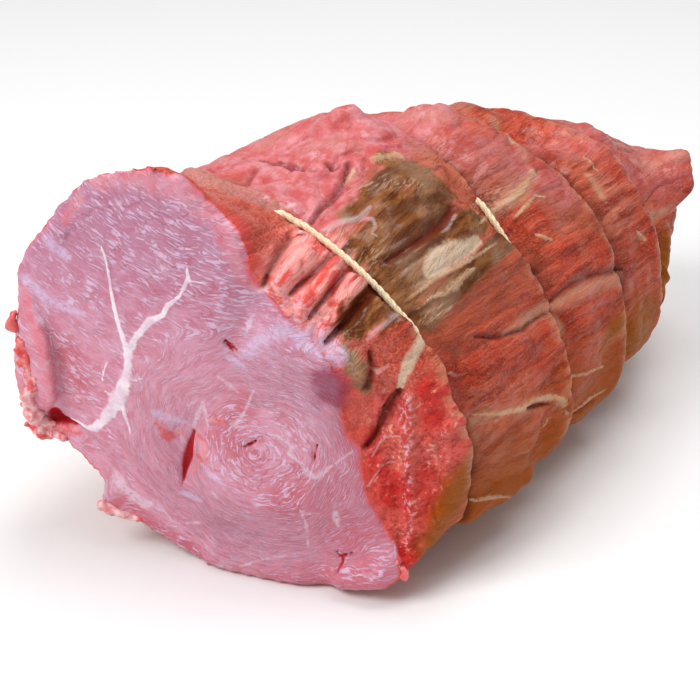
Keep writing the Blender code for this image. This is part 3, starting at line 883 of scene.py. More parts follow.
def closed_over(places, camera):
    """How far the meat rises beside and over each loop, for the lobes that close over the twine.

    The near lobe stands higher than the far one and drops to the crease in a steep step. Next come
    how much of each place is the seat of twine that shows, and the masks of the painted shade at the
    bottom of a crease, the painted highlight on its brow and the painted shade past it."""
    closed = closed_share(places, camera)
    rise, seat, crease, lobe_highlight, shade = np.zeros((5, len(places)))
    wander = rippled(places, *CREASE_WANDER)
    soft = smooth_step(*SOFT_TOP, places[:, 2])
    swell = (1.0 + SWELL * rippled(places, *LOBE_SWELL)) * (1 - SOFT_RISE * soft)
    creased = closed * (1 - SOFT_CREASE * soft)
    for tie in TIES:
        past = past_plane(fitted_plane(np.array(tie_line(tie))), places)
        seat = np.maximum(seat, (1 - closed) * bell(past, 0.0, np.where(past < 0, SEAT_NEAR, SEAT_FAR)))
        past = past + closed * WANDER * wander
        near = lobe(np.abs(past), NEAR_RISE, NEAR_REACH, NEAR_STEP)
        far = lobe(np.abs(past), FAR_RISE, FAR_REACH, FAR_STEP)
        rise = np.maximum(rise, closed * np.where(past < 0, near, far) * swell)
        crease = np.maximum(crease, creased * bell(past, CREASE_PAST, CREASE_REACH))
        lobe_highlight = np.maximum(lobe_highlight, creased * bell(past, BROW_PAST, BROW_REACH))
        shade = np.maximum(shade, creased * (past > 0) * bell(past, 0.0, SHADE_REACH))
    return rise, seat, crease, lobe_highlight, shade


def relief(places, camera):
    """The grooves and ridges on the sides, and how deep in a groove each place is, from 0 to 1."""
    move = np.zeros(len(places))
    deep = np.zeros(len(places))
    for height, stroke in RIDGES:
        move += height * MM * smooth_step(1.0, 0.0, stroke_field(places, [camera.drawn(stroke)]))
    for depth, stroke in GROOVES:
        share = np.clip(1.0 - stroke_field(places, [camera.drawn(stroke)]), 0, 1) ** GROOVE_POWER
        move -= depth * MM * share
        deep = np.maximum(deep, share)
    return move, deep


def pulled(places, camera):
    """How far each place moves with the pulls."""
    shift = np.zeros_like(places)
    for pull, stroke in PULLS:
        share = smooth_step(1.0, 0.0, stroke_field(places, [camera.drawn(stroke)]))
        shift += share[:, None] * np.array(pull) * MM
    return shift


def carved_patterns(places, cut, fields):
    """The relief of the muscle's own patterns, on the sides and on the cut face."""
    side = 1 - cut
    pink = smooth_step(1.4, 0.6, fields["pink"])
    bright = smooth_step(1.3, 0.5, fields["bright"])
    bend = SIDE_BEND_REACH * rippled(places, *SIDE_BEND)
    bent = places + np.c_[bend, np.zeros(len(places)), bend]
    bundles = 1 - np.abs(rippled(bent, *BUNDLES))
    threads = 1 - np.abs(rippled(bent, *THREADS))
    wrinkles = 1 - np.abs(rippled(places, *WRINKLES))
    flakes = 1 - np.abs(rippled(places, *FLAKES))
    cells = 1 - np.abs(rippled(places, *CELLS))
    move = side * LUMP_HEIGHT * rippled(places, *LUMPS)
    move -= side * (BUNDLE_DEPTH - BUNDLE_EASED * pink) * bundles ** NARROW
    move -= side * (THREAD_DEPTH - THREAD_EASED * pink) * threads ** WIDE
    move -= side * pink * WRINKLE_DEPTH * wrinkles ** NARROW
    move += side * bright * (TORN_HEIGHT * rippled(places, *TORN_LUMPS) - FLAKE_DEPTH * flakes ** WIDE)
    move -= cut * CELL_DEPTH * cells ** WIDE
    move += cut * FACE_LUMP_HEIGHT * rippled(places, *FACE_LUMPS)
    for name, (start, full, height) in FIELD_RELIEF.items():
        move += height * MM * smooth_step(start, full, fields[name])
    return move


def sculpt_meat(meat, rim, camera):
    """Moves the skin along its normals for the bundles, lumps, slits and ridges, and keeps the
    fields that its colours need."""
    mesh = meat.data
    places = vertex_places(mesh)
    normals = vertex_normals(mesh)
    inside = rim.inside(places)
    behind = rim.behind(places)
    faces_out = (normals[:, 1] < FACE_SLOPE) | ((inside > INNER) & (normals[:, 1] < INNER_SLOPE))
    on_face = np.where((behind < FACE_DEPTH) & faces_out, inside, -np.maximum(behind, SIDE_LEAST))
    cut = smooth_step(*CUT_RUN, on_face)
    side = 1 - cut
    fields = {name: stroke_field(places, [camera.drawn(stroke) for stroke in strokes])
              for name, strokes in PAINT.items()}

    carved, deep = relief(places, camera)
    rise, seat, crease, lobe_highlight, shade = closed_over(places, camera)
    move = (carved_patterns(places, cut, fields) + side * carved) * (1 - seat)
    outward = normals * np.array(LOBE_LEAN)
    outward /= np.linalg.norm(outward, axis=1)[:, None]
    raised = places + normals * move[:, None] + outward * (side * rise)[:, None] + pulled(places, camera)
    raised[:, 2] = np.maximum(raised[:, 2], 0.0)
    mesh.vertices.foreach_set("co", raised.ravel())
    mesh.update()

    kept = {
        "on_face": on_face / MM,
        # The groove and crease masks and the shade carry painted shade; the mask at the near lobe's brow
        # carries a painted highlight.
        "deep": deep,
        "crease": crease,
        "lobe_highlight": lobe_highlight,
        "shade": shade,
        "height": places[:, 2] / MM,
        "rightness": normals[:, 0] - 0.5 * normals[:, 2],
        "backward": smooth_step(*HIDDEN_RUN, places[:, 0]),
        "grain": grain_frame(camera, places, rim),
    }
    for name, values in (kept | fields).items():
        set_attribute(mesh, name, values)
    shade_smooth(mesh)


class Tree:
    """Adds nodes to a tree and links them. A value may be a number, a colour or another node's socket."""

    def __init__(self, tree):
        self.tree = tree

    def node(self, kind, inputs=(), **settings):
        """A new node with its settings, and with values for inputs by their name or number."""
        made = self.tree.nodes.new(kind)
        for name, value in settings.items():
            setattr(made, name, value)
        for name, value in dict(inputs).items():
            self.feed(made.inputs[name], value)
        return made

    def feed(self, socket, value):
        if isinstance(value, bpy.types.NodeSocket):
            self.tree.links.new(value, socket)
        else:
            socket.default_value = value

    def math(self, operation, *values):
        return self.node("ShaderNodeMath", enumerate(values), operation=operation).outputs[0]

    def product(self, first, second):
        return self.math("MULTIPLY", first, second)

    def total(self, first, second):
        return self.math("ADD", first, second)

    def less(self, first, second):
        return self.math("SUBTRACT", first, second)

    def vectors(self, operation, first, second):
        return self.node("ShaderNodeVectorMath", {0: first, 1: second}, operation=operation).outputs[0]

    def scaled(self, vector, scale):
        return self.vectors("MULTIPLY", vector, scale)

    def bent(self, vector, scale, reach):
        """A vector that noise moves by up to reach along each axis."""
        drift = self.node("ShaderNodeTexNoise", {"Vector": vector, "Scale": scale, "Detail": 3.0})
        return self.vectors("ADD", vector, self.scaled(drift.outputs["Color"], reach))

    def turned(self, vector, turn):
        return self.node("ShaderNodeMapping", {"Vector": vector, "Rotation": turn}).outputs[0]

    def mix(self, share, first, second):
        return self.node("ShaderNodeMix", {0: share, 6: first, 7: second}, data_type="RGBA").outputs[2]

    def between(self, share, first, second):
        return self.node("ShaderNodeMix", {0: share, 2: first, 3: second}, data_type="FLOAT").outputs[0]

    def step(self, value, low, high, bottom=0.0, top=1.0):
        given = enumerate((value, low, high, bottom, top))
        return self.node("ShaderNodeMapRange", given, interpolation_type="SMOOTHSTEP").outputs[0]

    def tones(self, pattern, low, high, dark, light):
        """From one 0 to 255 colour to another as a pattern goes from low to high."""
        return self.mix(self.step(pattern, low, high), colour(*dark), colour(*light))

    def layered(self, base, *coats):
        """Lays coats over a base: where each is, its 0 to 255 colour or a socket, and how strong."""
        for share, paint, weight in coats:
            if isinstance(paint, tuple):
                paint = colour(*paint)
            base = self.mix(self.product(share, weight), base, paint)
        return base

    def noise(self, vector, scale, detail=3.0, roughness=0.55):
        given = {"Vector": vector, "Scale": scale, "Detail": detail, "Roughness": roughness}
        return self.node("ShaderNodeTexNoise", given).outputs["Fac"]

    def cells(self, vector, scale):
        """How far a place is from the edge of its cell."""
        given = {"Vector": vector, "Scale": scale}
        return self.node("ShaderNodeTexVoronoi", given, feature="DISTANCE_TO_EDGE").outputs["Distance"]

    def attribute(self, name, output="Fac"):
        return self.node("ShaderNodeAttribute", attribute_name=name).outputs[output]

    def bump(self, height, strength, distance):
        given = {"Height": height, "Strength": strength, "Distance": distance}
        return self.node("ShaderNodeBump", given).outputs[0]

    def group(self, tree, **values):
        return self.node("ShaderNodeGroup", values, node_tree=tree).outputs


def new_group(name, inputs, outputs):
    """An empty node group with named sockets, and the helper that fills it."""
    group = bpy.data.node_groups.new(name, "ShaderNodeTree")
    kinds = {"value": "NodeSocketFloat", "vector": "NodeSocketVector"}
    for way, sockets in (("INPUT", inputs), ("OUTPUT", outputs)):
        for socket, kind in sockets.items():
            group.interface.new_socket(socket, in_out=way, socket_type=kinds[kind])
    tree = Tree(group)
    given = tree.node("NodeGroupInput").outputs
    result = tree.node("NodeGroupOutput").inputs
    return group, tree, given, result


def ragged_edge_group():
    """Turns a stroke's field into a mask whose edge wanders with noise."""
    group, tree, given, result = new_group(
        "ragged edge", {"Field": "value", "Wander": "value", "Softness": "value", "Pattern": "value"},
        {"Mask": "value"},
    )
    wander = tree.product(tree.less(given["Pattern"], 0.5), given["Wander"])
    low = tree.total(1.0, given["Softness"])
    high = tree.less(1.0, given["Softness"])
    tree.feed(result["Mask"], tree.step(tree.total(given["Field"], wander), low, high))
    return group


def muscle_grain_group():
    """Threads of muscle that run along Y: fine and coarse threads, tan flecks, partly painted glints, and
    dark gaps.
    """
    group, tree, given, result = new_group(
        "muscle grain", {"Place": "vector"}, {name: "value" for name in THREAD_PATTERNS}
    )
    bent = tree.bent(given["Place"], 70.0, (0.0035, 0.0, 0.0035))
    for name, (along, *pattern) in THREAD_PATTERNS.items():
        threads = tree.noise(tree.scaled(bent, (1.0, along, 1.0)), *pattern)
        if name == "Gaps":
            threads = tree.step(tree.math("ABSOLUTE", tree.less(threads, 0.5)), GAP_WIDTH, 0.0)
        tree.feed(result[name], threads)
    return group


def cut_grain_group():
    """The cut muscle threads' pale dashes, partly painted glints; dark cracks between bundles; mottling.
    """
    group, tree, given, result = new_group(
        "cut grain", {"Grain": "vector", "Density": "value"},
        {"Dashes": "value", "Cracks": "value", "Mottle": "value"},
    )
    bent = tree.bent(given["Grain"], 0.17, (5.0, 5.0, 3.4))
    long_dashes = tree.step(tree.noise(tree.scaled(bent, LONG_DASH), 1.0, 1.0, 0.5), 0.52, 0.62)
    short_dashes = tree.step(tree.noise(tree.scaled(bent, SHORT_DASH), 1.0, 1.0, 0.5), 0.55, 0.72)
    gate = tree.total(tree.noise(bent, 0.20, 2.0), tree.product(given["Density"], 0.12))
    strength = tree.step(gate, 0.42, 0.62, 0.3, 1.0)
    dashes = tree.math("MAXIMUM", long_dashes, tree.product(short_dashes, 0.8))
    tree.feed(result["Dashes"], tree.product(dashes, strength))
    patches = tree.step(tree.noise(bent, 0.09, 2.0), 0.42, 0.56)
    edges = tree.step(tree.cells(tree.scaled(bent, CRACK_CELL), 0.26), 0.07, 0.0)
    tree.feed(result["Cracks"], tree.product(edges, patches))
    tree.feed(result["Mottle"], tree.noise(bent, 0.22, 4.0, 0.6))
    return group


def new_material(name):
    material = bpy.data.materials.new(name)
    material.use_nodes = True
    tree = Tree(material.node_tree)
    shader = material.node_tree.nodes["Principled BSDF"]
    return material, tree, shader


def set_surface(tree, shader, **values):
    """Gives the shader's sockets their values. A name has _ where the socket's has a space."""
    for name, value in values.items():
        tree.feed(shader.inputs[name.replace("_", " ")], value)


def flesh_material(climb):
    """Raw beef. climb is the turn that lays the climbing threads along Y."""
    material, tree, shader = new_material("raw_beef")
    step, noise, tones, layered = tree.step, tree.noise, tree.tones, tree.layered
    product, total, attribute = tree.product, tree.total, tree.attribute
    place = tree.node("ShaderNodeTexCoord").outputs["Object"]
    edge = ragged_edge_group()
    muscle = muscle_grain_group()
    level = tree.group(muscle, Place=place)
    climbing = tree.group(muscle, Place=tree.turned(place, climb))
    cut = tree.group(
        cut_grain_group(), Grain=attribute("grain", "Vector"), Density=step(attribute("dense"), 1.6, 0.4)
    )

    def mask(field, wander, softness, pattern):
        """Where a painted field is, with an edge that a pattern makes ragged."""
        return tree.group(
            edge, Field=attribute(field), Wander=wander, Softness=softness, Pattern=pattern
        )["Mask"]

    def stretched(stretch, *pattern):
        return noise(tree.scaled(place, stretch), *pattern)

    # The patterns that the colours share.
    broad = noise(place, 26.0, 2.0)
    coarse = noise(place, 60.0)
    mid = noise(place, 220.0, 4.0, 0.6)
    fine = noise(place, 900.0, 3.0, 0.6)
    speck = noise(place, 1500.0, 2.0, 0.5)
    streak = stretched((1.0, 0.28, 0.8), 1100.0)
    climbs = mask("climbing", 1.6, 0.4, coarse)
    threads, bundles, flecks, gaps = (
        tree.between(climbs, level[name], climbing[name]) for name in THREAD_PATTERNS
    )
    bend = product(tree.less(1.0, attribute("face_more")), FACE_MORE_DEPTH)
    depth = tree.math("MAXIMUM", attribute("on_face"), bend)
    backward = attribute("backward")
    low = step(total(attribute("height"), product(coarse, 16.0)), 64.0, 26.0)
    outward = step(attribute("rightness"), 0.05, 0.7)
    film = product(step(stretched((1.0, 0.3, 1.0), 70.0, 4.0, 0.6), 0.56, 0.66), backward)
    seam = tree.math("ABSOLUTE", tree.less(stretched((1.0, 0.4, 1.0), 34.0), 0.5))
    seam = product(product(step(seam, 0.014, 0.002), step(coarse, 0.45, 0.60)), backward)

    # The flesh of the wrinkled top.
    rose = layered(
        tones(mid, 0.3, 0.7, (196, 88, 88), (214, 136, 142)),
        (step(coarse, 0.52, 0.68), (196, 122, 114), 0.8),
        (step(threads, 0.45, 0.30), (180, 56, 50), 0.35),
        # Painted highlights: pale pink glints on the wrinkled top.
        (step(stretched((1.0, 0.5, 1.0), 520.0, 2.0), 0.62, 0.72), (232, 168, 172), 0.35),
    )
    # The torn corner at the lower right of the cut face.
    bright = layered(
        tones(coarse, 0.38, 0.62, (204, 40, 38), (214, 92, 84)),
        (step(threads, 0.46, 0.30), (146, 20, 14), 0.6),
        (step(streak, 0.48, 0.38), (140, 14, 14), 0.5),
        # Painted highlights: pale cream glints along the torn corner's streaks.
        (product(step(streak, 0.56, 0.64), step(mid, 0.46, 0.58)), (236, 176, 150), 0.7),
    )
    # The flat strip behind the cut face, which is grey at its top.
    slab = layered(
        tones(speck, 0.36, 0.66, (190, 72, 58), (216, 120, 106)),
        (step(coarse, 0.40, 0.62), (164, 58, 40), 0.5),
        # Tan flecks, partly painted glints of the wet surface.
        (step(flecks, 0.64, 0.72), (226, 168, 120), 0.35),
        (step(total(depth, product(mid, 4.0)), -2.8, 0.5), (212, 76, 70), 0.65),
        (mask("slab_grey", 1.2, 0.7, mid),
         tones(speck, 0.30, 0.70, (178, 106, 98), (198, 134, 126)), 1.0),
    )
    strand = layered(
        tones(bundles, 0.40, 0.58, (220, 80, 72), (240, 156, 150)),
        (step(threads, 0.52, 0.68), (238, 180, 172), 0.6),
        (gaps, (150, 34, 26), 0.3),
    )
    dried = layered(
        tones(bundles, 0.34, 0.60, (96, 44, 8), (142, 86, 42)),
        (step(coarse, 0.50, 0.66), (156, 118, 92), 0.7),
        (step(threads, 0.53, 0.68), (172, 122, 76), 0.3),
        (step(threads, 0.46, 0.32), (66, 24, 4), 0.35),
    )
    behind_cut = total(attribute("on_face"), product(coarse, 8.0))
    side = layered(
        tones(coarse, 0.35, 0.65, (186, 60, 38), (208, 94, 66)),
        (step(broad, 0.48, 0.62), (190, 118, 98), 0.65),
        (step(broad, 0.46, 0.34), (186, 62, 48), 0.45),
        (step(bundles, 0.60, 0.30), (146, 40, 24), 1.0),
        (step(threads, 0.52, 0.70), (208, 132, 104), 0.36),
        (step(threads, 0.46, 0.32), (122, 34, 18), 0.36),
        (gaps, (110, 24, 12), 0.34),
        # Tan flecks, partly painted glints of the wet surface.
        (product(step(flecks, 0.62, 0.72), step(coarse, 0.45, 0.65)), (222, 172, 130), 0.35),
        (step(speck, 0.5, 0.7), (214, 140, 112), 0.25),
        (attribute("shade"), (96, 26, 12), 0.36),
        (mask("browned", 1.6, 0.9, coarse), (142, 82, 58), 0.45),
        (film, (212, 158, 134), 0.55),
        (seam, (226, 186, 156), 0.7),
        (product(step(broad, 0.40, 0.56), backward), rose, 0.5),
        # Membrane, partly a painted highlight along the lobes' edges.
        (mask("membrane_and_edge_light", 2.4, 0.9, bundles), (212, 160, 130), 0.5),
        # Painted light: a warm yellow-brown tint on low faces that look out to the right, for light
        # bounced up from below.
        (product(low, outward), (160, 76, 0), 0.93),
        (mask("rose", 1.2, 0.8, coarse), rose, 0.45),
        (mask("pink", 1.1, 0.55, coarse), rose, 1.0),
        (step(behind_cut, -12.0, -1.0), slab, 0.8),
        (mask("slab", 1.2, 0.35, mid), slab, 1.0),
        (mask("bright", 1.0, 0.5, mid), bright, 0.92),
        # Painted light: the warm tint of bounced light where its strokes are drawn.
        (mask("painted_bounce", 1.4, 0.8, coarse), (148, 84, 4), 0.8),
        (mask("strands", 1.2, 0.5, mid), strand, 1.0),
        (mask("dried", 2.2, 0.4, bundles), dried, 1.0),
        (mask("dried_dark", 1.4, 0.6, bundles), (82, 38, 14), 0.65),
        (product(mask("frosted", 1.6, 0.8, bundles), step(threads, 0.46, 0.62)), (198, 170, 150), 0.5),
        # Painted shade in the grooves, by how deep in a groove each place is.
        (attribute("deep"), (112, 20, 10), 0.8),
        # Painted highlight on the brow of the near lobe.
        (product(attribute("lobe_highlight"), step(bundles, 0.40, 0.60)), (212, 158, 122), 0.45),
        # Painted shade at the bottom of each crease.
        (attribute("crease"), (88, 22, 10), 0.75),
    )

    cracks = product(cut["Cracks"], step(attribute("dense"), 1.8, 0.8, 0.25, 1.0))
    face = layered(
        tones(cut["Mottle"], 0.35, 0.65, (203, 126, 144), (215, 152, 172)),
        (step(attribute("height"), 50.0, 100.0), (168, 112, 144), 0.6),
        (cracks, (172, 74, 94), 0.42),
        (mask("blush", 1.4, 0.8, coarse), (190, 86, 98), 0.62),
        # Pale dashes of the threads' cut ends, partly painted glints of the wet face.
        (cut["Dashes"], (224, 194, 222), 0.7),
        (mask("edge_pink", 1.8, 0.7, mid), tones(mid, 0.35, 0.65, (222, 112, 122), (228, 160, 172)), 0.6),
        (step(total(depth, product(mid, 2.0)), 2.2, 0.9), (226, 84, 82), 0.75),
    )
    on_face = step(total(depth, tree.less(fine, 0.5)), -0.25, 0.35)

    # The marks that lie over both: slits, fat and marbling.
    torn = step(stretched((0.5, 1.0, 1.4), 900.0), 0.48, 0.64)
    cream = layered(
        tree.mix(mid, colour(196, 164, 132), colour(228, 210, 190)),
        (step(threads, 0.50, 0.34), (170, 120, 84), 0.45),
    )
    body = layered(
        tree.mix(on_face, side, face),
        (mask("purple", 1.0, 0.6, mid), (150, 56, 84), 0.7),
        (mask("lip", 1.8, 0.5, mid), tones(mid, 0.40, 0.60, (214, 92, 98), (228, 150, 156)), 0.85),
        (mask("slit", 1.2, 0.35, mid), (186, 14, 24), 0.95),
        (product(mask("torn", 2.2, 0.8, mid), torn), (222, 196, 220), 0.6),
        (mask("fat", 3.0, 0.7, fine), tree.mix(mid, colour(180, 126, 90), colour(226, 192, 158)), 0.8),
        (mask("cream", 1.4, 0.4, mid), cream, 0.85),
        (mask("silver", 2.4, 0.8, mid), (218, 194, 200), 0.38),
        (product(mask("lilac", 2.0, 0.7, mid), step(fine, 0.30, 0.60, 0.3, 1.0)), (216, 192, 224), 0.7),
        # Painted highlights: glints along the ridge at the corner and on the top.
        (product(mask("painted_glints", 1.6, 0.6, mid), step(streak, 0.52, 0.62)), (222, 182, 204), 0.55),
        (product(mask("small_vein", 3.0, 0.7, mid), step(fine, 0.36, 0.56, 0.35, 1.0)),
         (230, 206, 222), 0.6),
        (mask("vein", 1.6, 0.3, noise(place, 420.0, 2.0)),
         tones(mid, 0.35, 0.65, (228, 202, 218), (246, 230, 238)), 0.95),
    )

    fibrous = tree.less(total(product(threads, 0.8), product(bundles, 0.8)), product(gaps, 0.3))
    torn_up = total(product(streak, 1.2), product(mid, 1.4))
    glistening = total(product(mid, 2.0), product(fine, 0.9))
    side_bumps = tree.between(mask("bright", 1.0, 0.5, mid), fibrous, torn_up)
    side_bumps = tree.between(mask("pink", 1.1, 0.55, coarse), side_bumps, glistening)
    cut_bumps = tree.less(total(product(cut["Dashes"], 0.4), product(fine, 0.4)), product(cracks, 0.2))
    set_surface(
        tree, shader, Base_Color=body,
        Normal=tree.bump(tree.between(on_face, side_bumps, cut_bumps), 0.7, FLESH_BUMP),
        Roughness=step(fine, 0.2, 0.8, 0.34, 0.55),
        Coat_Weight=product(step(mid, 0.4, 0.62, 0.03, 0.45), tree.less(1.0, low)), Coat_Roughness=0.2,
        Subsurface_Weight=0.12, Subsurface_Scale=0.0025, Subsurface_Radius=(1.0, 0.35, 0.25),
        IOR=1.42, Specular_IOR_Level=0.1,
    )
    return material


def twine_material():
    material, tree, shader = new_material("cotton_twine")
    place = tree.node("ShaderNodeTexCoord").outputs["Object"]
    threads = tree.noise(place, 2500.0, 3.0, 0.6)
    stained = tree.step(tree.noise(place, 120.0), 0.55, 0.75, 0.0, 0.6)
    yarn = tree.tones(threads, 0.3, 0.7, (232, 200, 150), (255, 244, 216))
    set_surface(
        tree, shader, Base_Color=tree.mix(stained, yarn, colour(212, 158, 122)),
        Normal=tree.bump(threads, 0.5, TWINE_BUMP), Roughness=0.85, Sheen_Weight=0.2,
    )
    return material


def scrap_material():
    """Torn fat and flesh: each lump's own share of fat is kept in an attribute."""
    material, tree, shader = new_material("torn_fat")
    patches = tree.noise(tree.node("ShaderNodeTexCoord").outputs["Object"], 500.0)
    flesh = tree.tones(patches, 0.35, 0.65, (214, 72, 70), (224, 112, 110))
    fat = tree.tones(patches, 0.35, 0.65, (222, 128, 130), (236, 192, 196))
    share = tree.total(tree.attribute("fatness"), tree.less(patches, 0.5))
    set_surface(
        tree, shader, Base_Color=tree.mix(tree.step(share, 0.3, 0.7), flesh, fat), Roughness=0.4,
        Coat_Weight=0.2, Coat_Roughness=0.2, Subsurface_Weight=0.12, Subsurface_Scale=0.002,
    )
    return material


def scrap_lumps(camera):
    """Places along the strings of scraps, each with its radius and its share of fat."""
    lumps = []
    for string in SCRAPS:
        for start, stop in zip(string, string[1:]):
            first, last = camera.near(*start[:2]), camera.near(*stop[:2])
            if first is None or last is None:
                continue
            count = max(1, round((last - first).length / SCRAP_STEP))
            for number in range(count):
                share = number / count
                radius, fat = (a + (b - a) * share for a, b in zip(start[2:], stop[2:]))
                lumps.append((first.lerp(last, share), radius * MM, fat))
    return lumps


def make_scraps(camera):
    """The torn fat and flesh: lumps sunk a little in the joint and grown together in one ragged piece."""
    random.seed(SCRAP_SEED)
    lumps = scrap_lumps(camera)
    shape = bmesh.new()
    for place, radius, fat in lumps:
        outward = place - Vector(MIDDLE)
        outward.y = 0
        outward.normalize()
        drift = Vector([random.uniform(-SCRAP_DRIFT, SCRAP_DRIFT) * radius for axis in range(3)])
        turn = Euler([random.uniform(0, math.pi) for axis in range(3)])
        scale = Vector([radius * random.uniform(*SCRAP_STRETCH) for axis in range(3)])
        for vert in bmesh.ops.create_icosphere(shape, subdivisions=3, radius=1.0)["verts"]:
            knurl = noise.noise(vert.co * SCRAP_KNURL + place / MM)
            vert.co = vert.co * (1 + SCRAP_LUMP * knurl) * scale
            vert.co.rotate(turn)
            vert.co += place + drift + outward * radius * SCRAP_SINK
            vert.co.z = max(vert.co.z, 0.0)
    piece = new_object("torn_scraps", mesh_from(shape, "torn_scraps"))
    joining = piece.modifiers.new("joining", "REMESH")
    joining.mode = "VOXEL"
    joining.voxel_size = SCRAP_NET
    easing = piece.modifiers.new("easing", "SMOOTH")
    easing.iterations = 2
    mesh = apply_modifiers(piece)
    places = vertex_places(mesh)
    ripple = SCRAP_RIPPLE_HEIGHT * rippled(places, *SCRAP_RIPPLE)
    places += vertex_normals(mesh) * ripple[:, None]
    places[:, 2] = np.maximum(places[:, 2], 0.0)
    mesh.vertices.foreach_set("co", places.ravel())
    away = [np.linalg.norm(places - np.array(place), axis=1) / radius for place, radius, fat in lumps]
    fatness = np.array([fat for place, radius, fat in lumps])[np.argmin(away, axis=0)]
    set_attribute(mesh, "fatness", fatness)
    shade_smooth(mesh)
    mesh.materials.clear()
    mesh.materials.append(scrap_material())
    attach(piece, "root")
    return piece


def tie_line(node):
    """The middle line of a tie's loop, measured on its solid, away from its knot."""
    places = np.array([vert.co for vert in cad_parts[node].data.vertices])
    middle = (places.max(axis=0) + places.min(axis=0)) / 2
    turn = np.arctan2(places[:, 2] - middle[2], places[:, 0] - middle[0])
    station = np.round((turn + math.pi) / (2 * math.pi) * TIE_STATIONS).astype(int) % TIE_STATIONS
    line = {}
    for number in range(TIE_STATIONS):
        ring = places[station == number]
        if len(ring) and np.linalg.norm(ring.max(axis=0) - ring.min(axis=0)) < RING_SPREAD:
            line[number] = ring.mean(axis=0)
    return [line[number] for number in sorted(line)]


def even_loop(points, step):
    """The same closed line with points at even steps, as a smooth curve."""
    ring = [Vector(point) for point in points]
    fine = []
    for number in range(len(ring)):
        p0, p1, p2, p3 = (ring[(number + shift) % len(ring)] for shift in (-1, 0, 1, 2))
        for part in range(CURVE_PARTS):
            t = part / CURVE_PARTS
            fine.append(0.5 * (2 * p1 + (p2 - p0) * t + (2 * p0 - 5 * p1 + 4 * p2 - p3) * t * t
                               + (3 * p1 - p0 - 3 * p2 + p3) * t ** 3))
    fine.append(fine[0])
    lengths = np.r_[0, np.cumsum([(b - a).length for a, b in zip(fine, fine[1:])])]
    count = round(lengths[-1] / step)
    wanted = np.linspace(0, lengths[-1], count, endpoint=False)
    array = np.array(fine)
    return np.c_[[np.interp(wanted, lengths, array[:, axis]) for axis in range(3)]].T, lengths[-1]


def ply_frame(path, toward, closed):
    """The run of a path at each point, and two directions across it, the first nearest to toward."""
    if closed:
        ahead = np.roll(path, -1, axis=0) - np.roll(path, 1, axis=0)
    else:
        ahead = np.gradient(path, axis=0)
    ahead /= np.linalg.norm(ahead, axis=1)[:, None]
    out = toward - (toward * ahead).sum(axis=1)[:, None] * ahead
    out /= np.linalg.norm(out, axis=1)[:, None]
    return ahead, out, np.cross(ahead, out)


def add_plies(curve, path, toward, turns, closed):
    """Three plies wound round a path."""
    ahead, out, beside = ply_frame(path, toward, closed)
    angle = np.linspace(0, 2 * math.pi * turns, len(path), endpoint=not closed)
    for ply in range(PLIES):
        phase = angle + 2 * math.pi * ply / PLIES
        places = path + PLY_LAY * (np.cos(phase)[:, None] * out + np.sin(phase)[:, None] * beside)
        spline = curve.splines.new("POLY")
        spline.points.add(len(places) - 1)
        spline.points.foreach_set("co", np.c_[places, np.ones(len(places))].ravel())
        spline.use_cyclic_u = closed


def add_knot(curve, line):
    """The knot on the hidden side: two tight coils round the loop, and two trimmed ends."""
    ahead, out, beside = ply_frame(line, line - line.mean(axis=0), True)
    height = np.where(line[:, 0] < 0, np.abs(line[:, 2] - KNOT_HEIGHT), 1.0)
    at = int(np.argmin(height))
    centre = line[at] + out[at] * KNOT_LIFT
    share = np.linspace(0, 1, END_STATIONS * KNOT_TURNS)[:, None]
    angle = 2 * math.pi * KNOT_TURNS * share
    for tilt in KNOT_TILTS:
        axis = math.cos(tilt) * ahead[at] + math.sin(tilt) * beside[at]
        across = np.cross(axis, out[at])
        arm = np.cos(angle) * out[at] + np.sin(angle) * across
        coil = centre + axis * KNOT_LENGTH * (share - 0.5) + arm * KNOT_COIL
        add_plies(curve, coil, arm, KNOT_TURNS, False)
    share = np.linspace(0, 1, END_STATIONS)[:, None]
    droop = np.array((0, 0, END_DROOP)) * share ** 2
    for direction in END_DIRECTIONS:
        path = centre + np.array(direction) * END_LENGTH * share - droop
        add_plies(curve, path, np.tile(ahead[at], (END_STATIONS, 1)), END_LENGTH / TWINE_PITCH, False)


def lay_twine(node, material, camera):
    """One tie: three plies wound round its line, which dips into the meat where that has closed."""
    line, length = even_loop(tie_line(node), PLY_STEP)
    ahead, out, beside = ply_frame(line, line - line.mean(axis=0), True)
    carved, deep = relief(line, camera)
    sunk = closed_share(line, camera, HIDDEN_TO) * (TWINE_SINK - np.minimum(carved, 0))
    line = line - out * sunk[:, None]
    curve = bpy.data.curves.new("twine_" + node[-1], "CURVE")
    curve.dimensions = "3D"
    curve.bevel_depth = PLY_RADIUS
    curve.bevel_resolution = 1
    curve.use_fill_caps = True
    add_plies(curve, line, out, round(length / TWINE_PITCH), True)
    add_knot(curve, line)
    piece = new_object("twine_" + node[-1], curve)
    curve.materials.append(material)
    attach(piece, "root")
    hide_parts(node)
    return piece


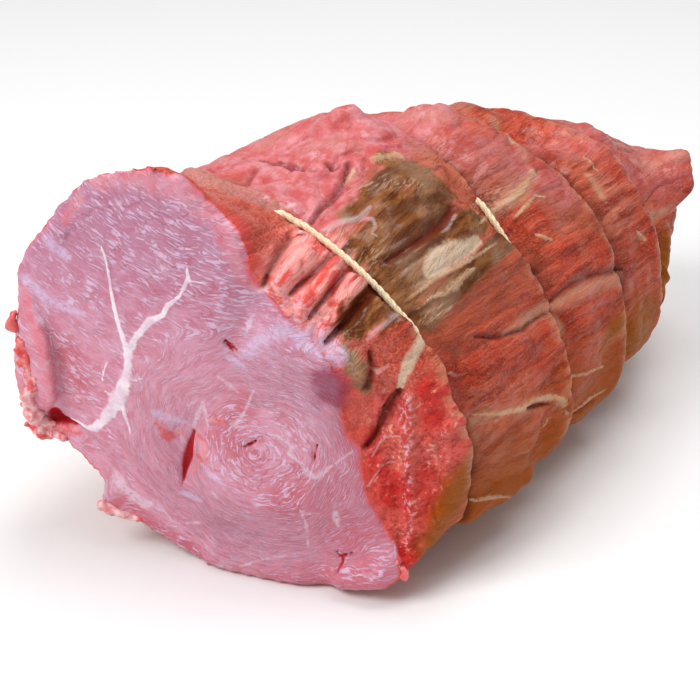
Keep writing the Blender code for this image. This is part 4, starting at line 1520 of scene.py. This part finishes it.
def make_floor():
    shape = bmesh.new()
    bmesh.ops.create_grid(shape, x_segments=1, y_segments=1, size=FLOOR_SIZE)
    bmesh.ops.translate(shape, verts=shape.verts, vec=(0, 0, FLOOR_DROP))
    floor = new_object("floor", mesh_from(shape, "floor"))
    material, tree, shader = new_material("pale_floor")
    set_surface(tree, shader, Base_Color=colour(240, 240, 240), Roughness=0.8)
    floor.data.materials.append(material)


def area_light(name, place, size, power):
    light = bpy.data.lights.new(name, "AREA")
    light.size = size
    light.energy = power
    lamp = new_object(name, light)
    lamp.location = place
    lamp.rotation_euler = (Vector(MIDDLE) - Vector(place)).to_track_quat("-Z", "Y").to_euler()


def make_studio():
    world = bpy.data.worlds.new("studio")
    world.use_nodes = True
    background = world.node_tree.nodes["Background"]
    background.inputs["Color"].default_value = (1.0, 1.0, 1.0, 1.0)
    background.inputs["Strength"].default_value = SKY
    bpy.context.scene.world = world
    for name, light in LIGHTS.items():
        area_light(name, *light)
    bpy.context.scene.view_settings.view_transform = "Standard"


def make_camera():
    lens = bpy.data.cameras.new("camera")
    lens.lens = LENS
    lens.sensor_width = SENSOR
    lens.clip_start = 0.01
    camera = new_object("camera", lens)
    camera.location = CAMERA_PLACE
    camera.rotation_euler = CAMERA_AIM.to_track_quat("-Z", "Y").to_euler()
    bpy.context.scene.camera = camera


def make_meat():
    solid = merged_copy("meat")
    sight = Camera(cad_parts["meat"].data)
    rim = Rim(solid, [sight.place(*pixel) for pixel in FACE_EDGE])
    meat = make_skin(solid, rim)
    refine_seen_side(meat)
    camera = Camera(meat.data)
    climb = camera.place(*CLIMB_STOP) - camera.place(*CLIMB_START)
    sculpt_meat(meat, rim, camera)
    meat.data.materials.clear()
    turn = climb.rotation_difference(Vector((0, 1, 0))).to_euler()
    meat.data.materials.append(flesh_material(turn))
    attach(meat, "root")
    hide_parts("meat")
    return meat, camera


make_camera()
make_studio()
make_floor()
meat, camera = make_meat()
make_scraps(Camera(meat.data))
twine = twine_material()
for tie in TIES:
    lay_twine(tie, twine, camera)
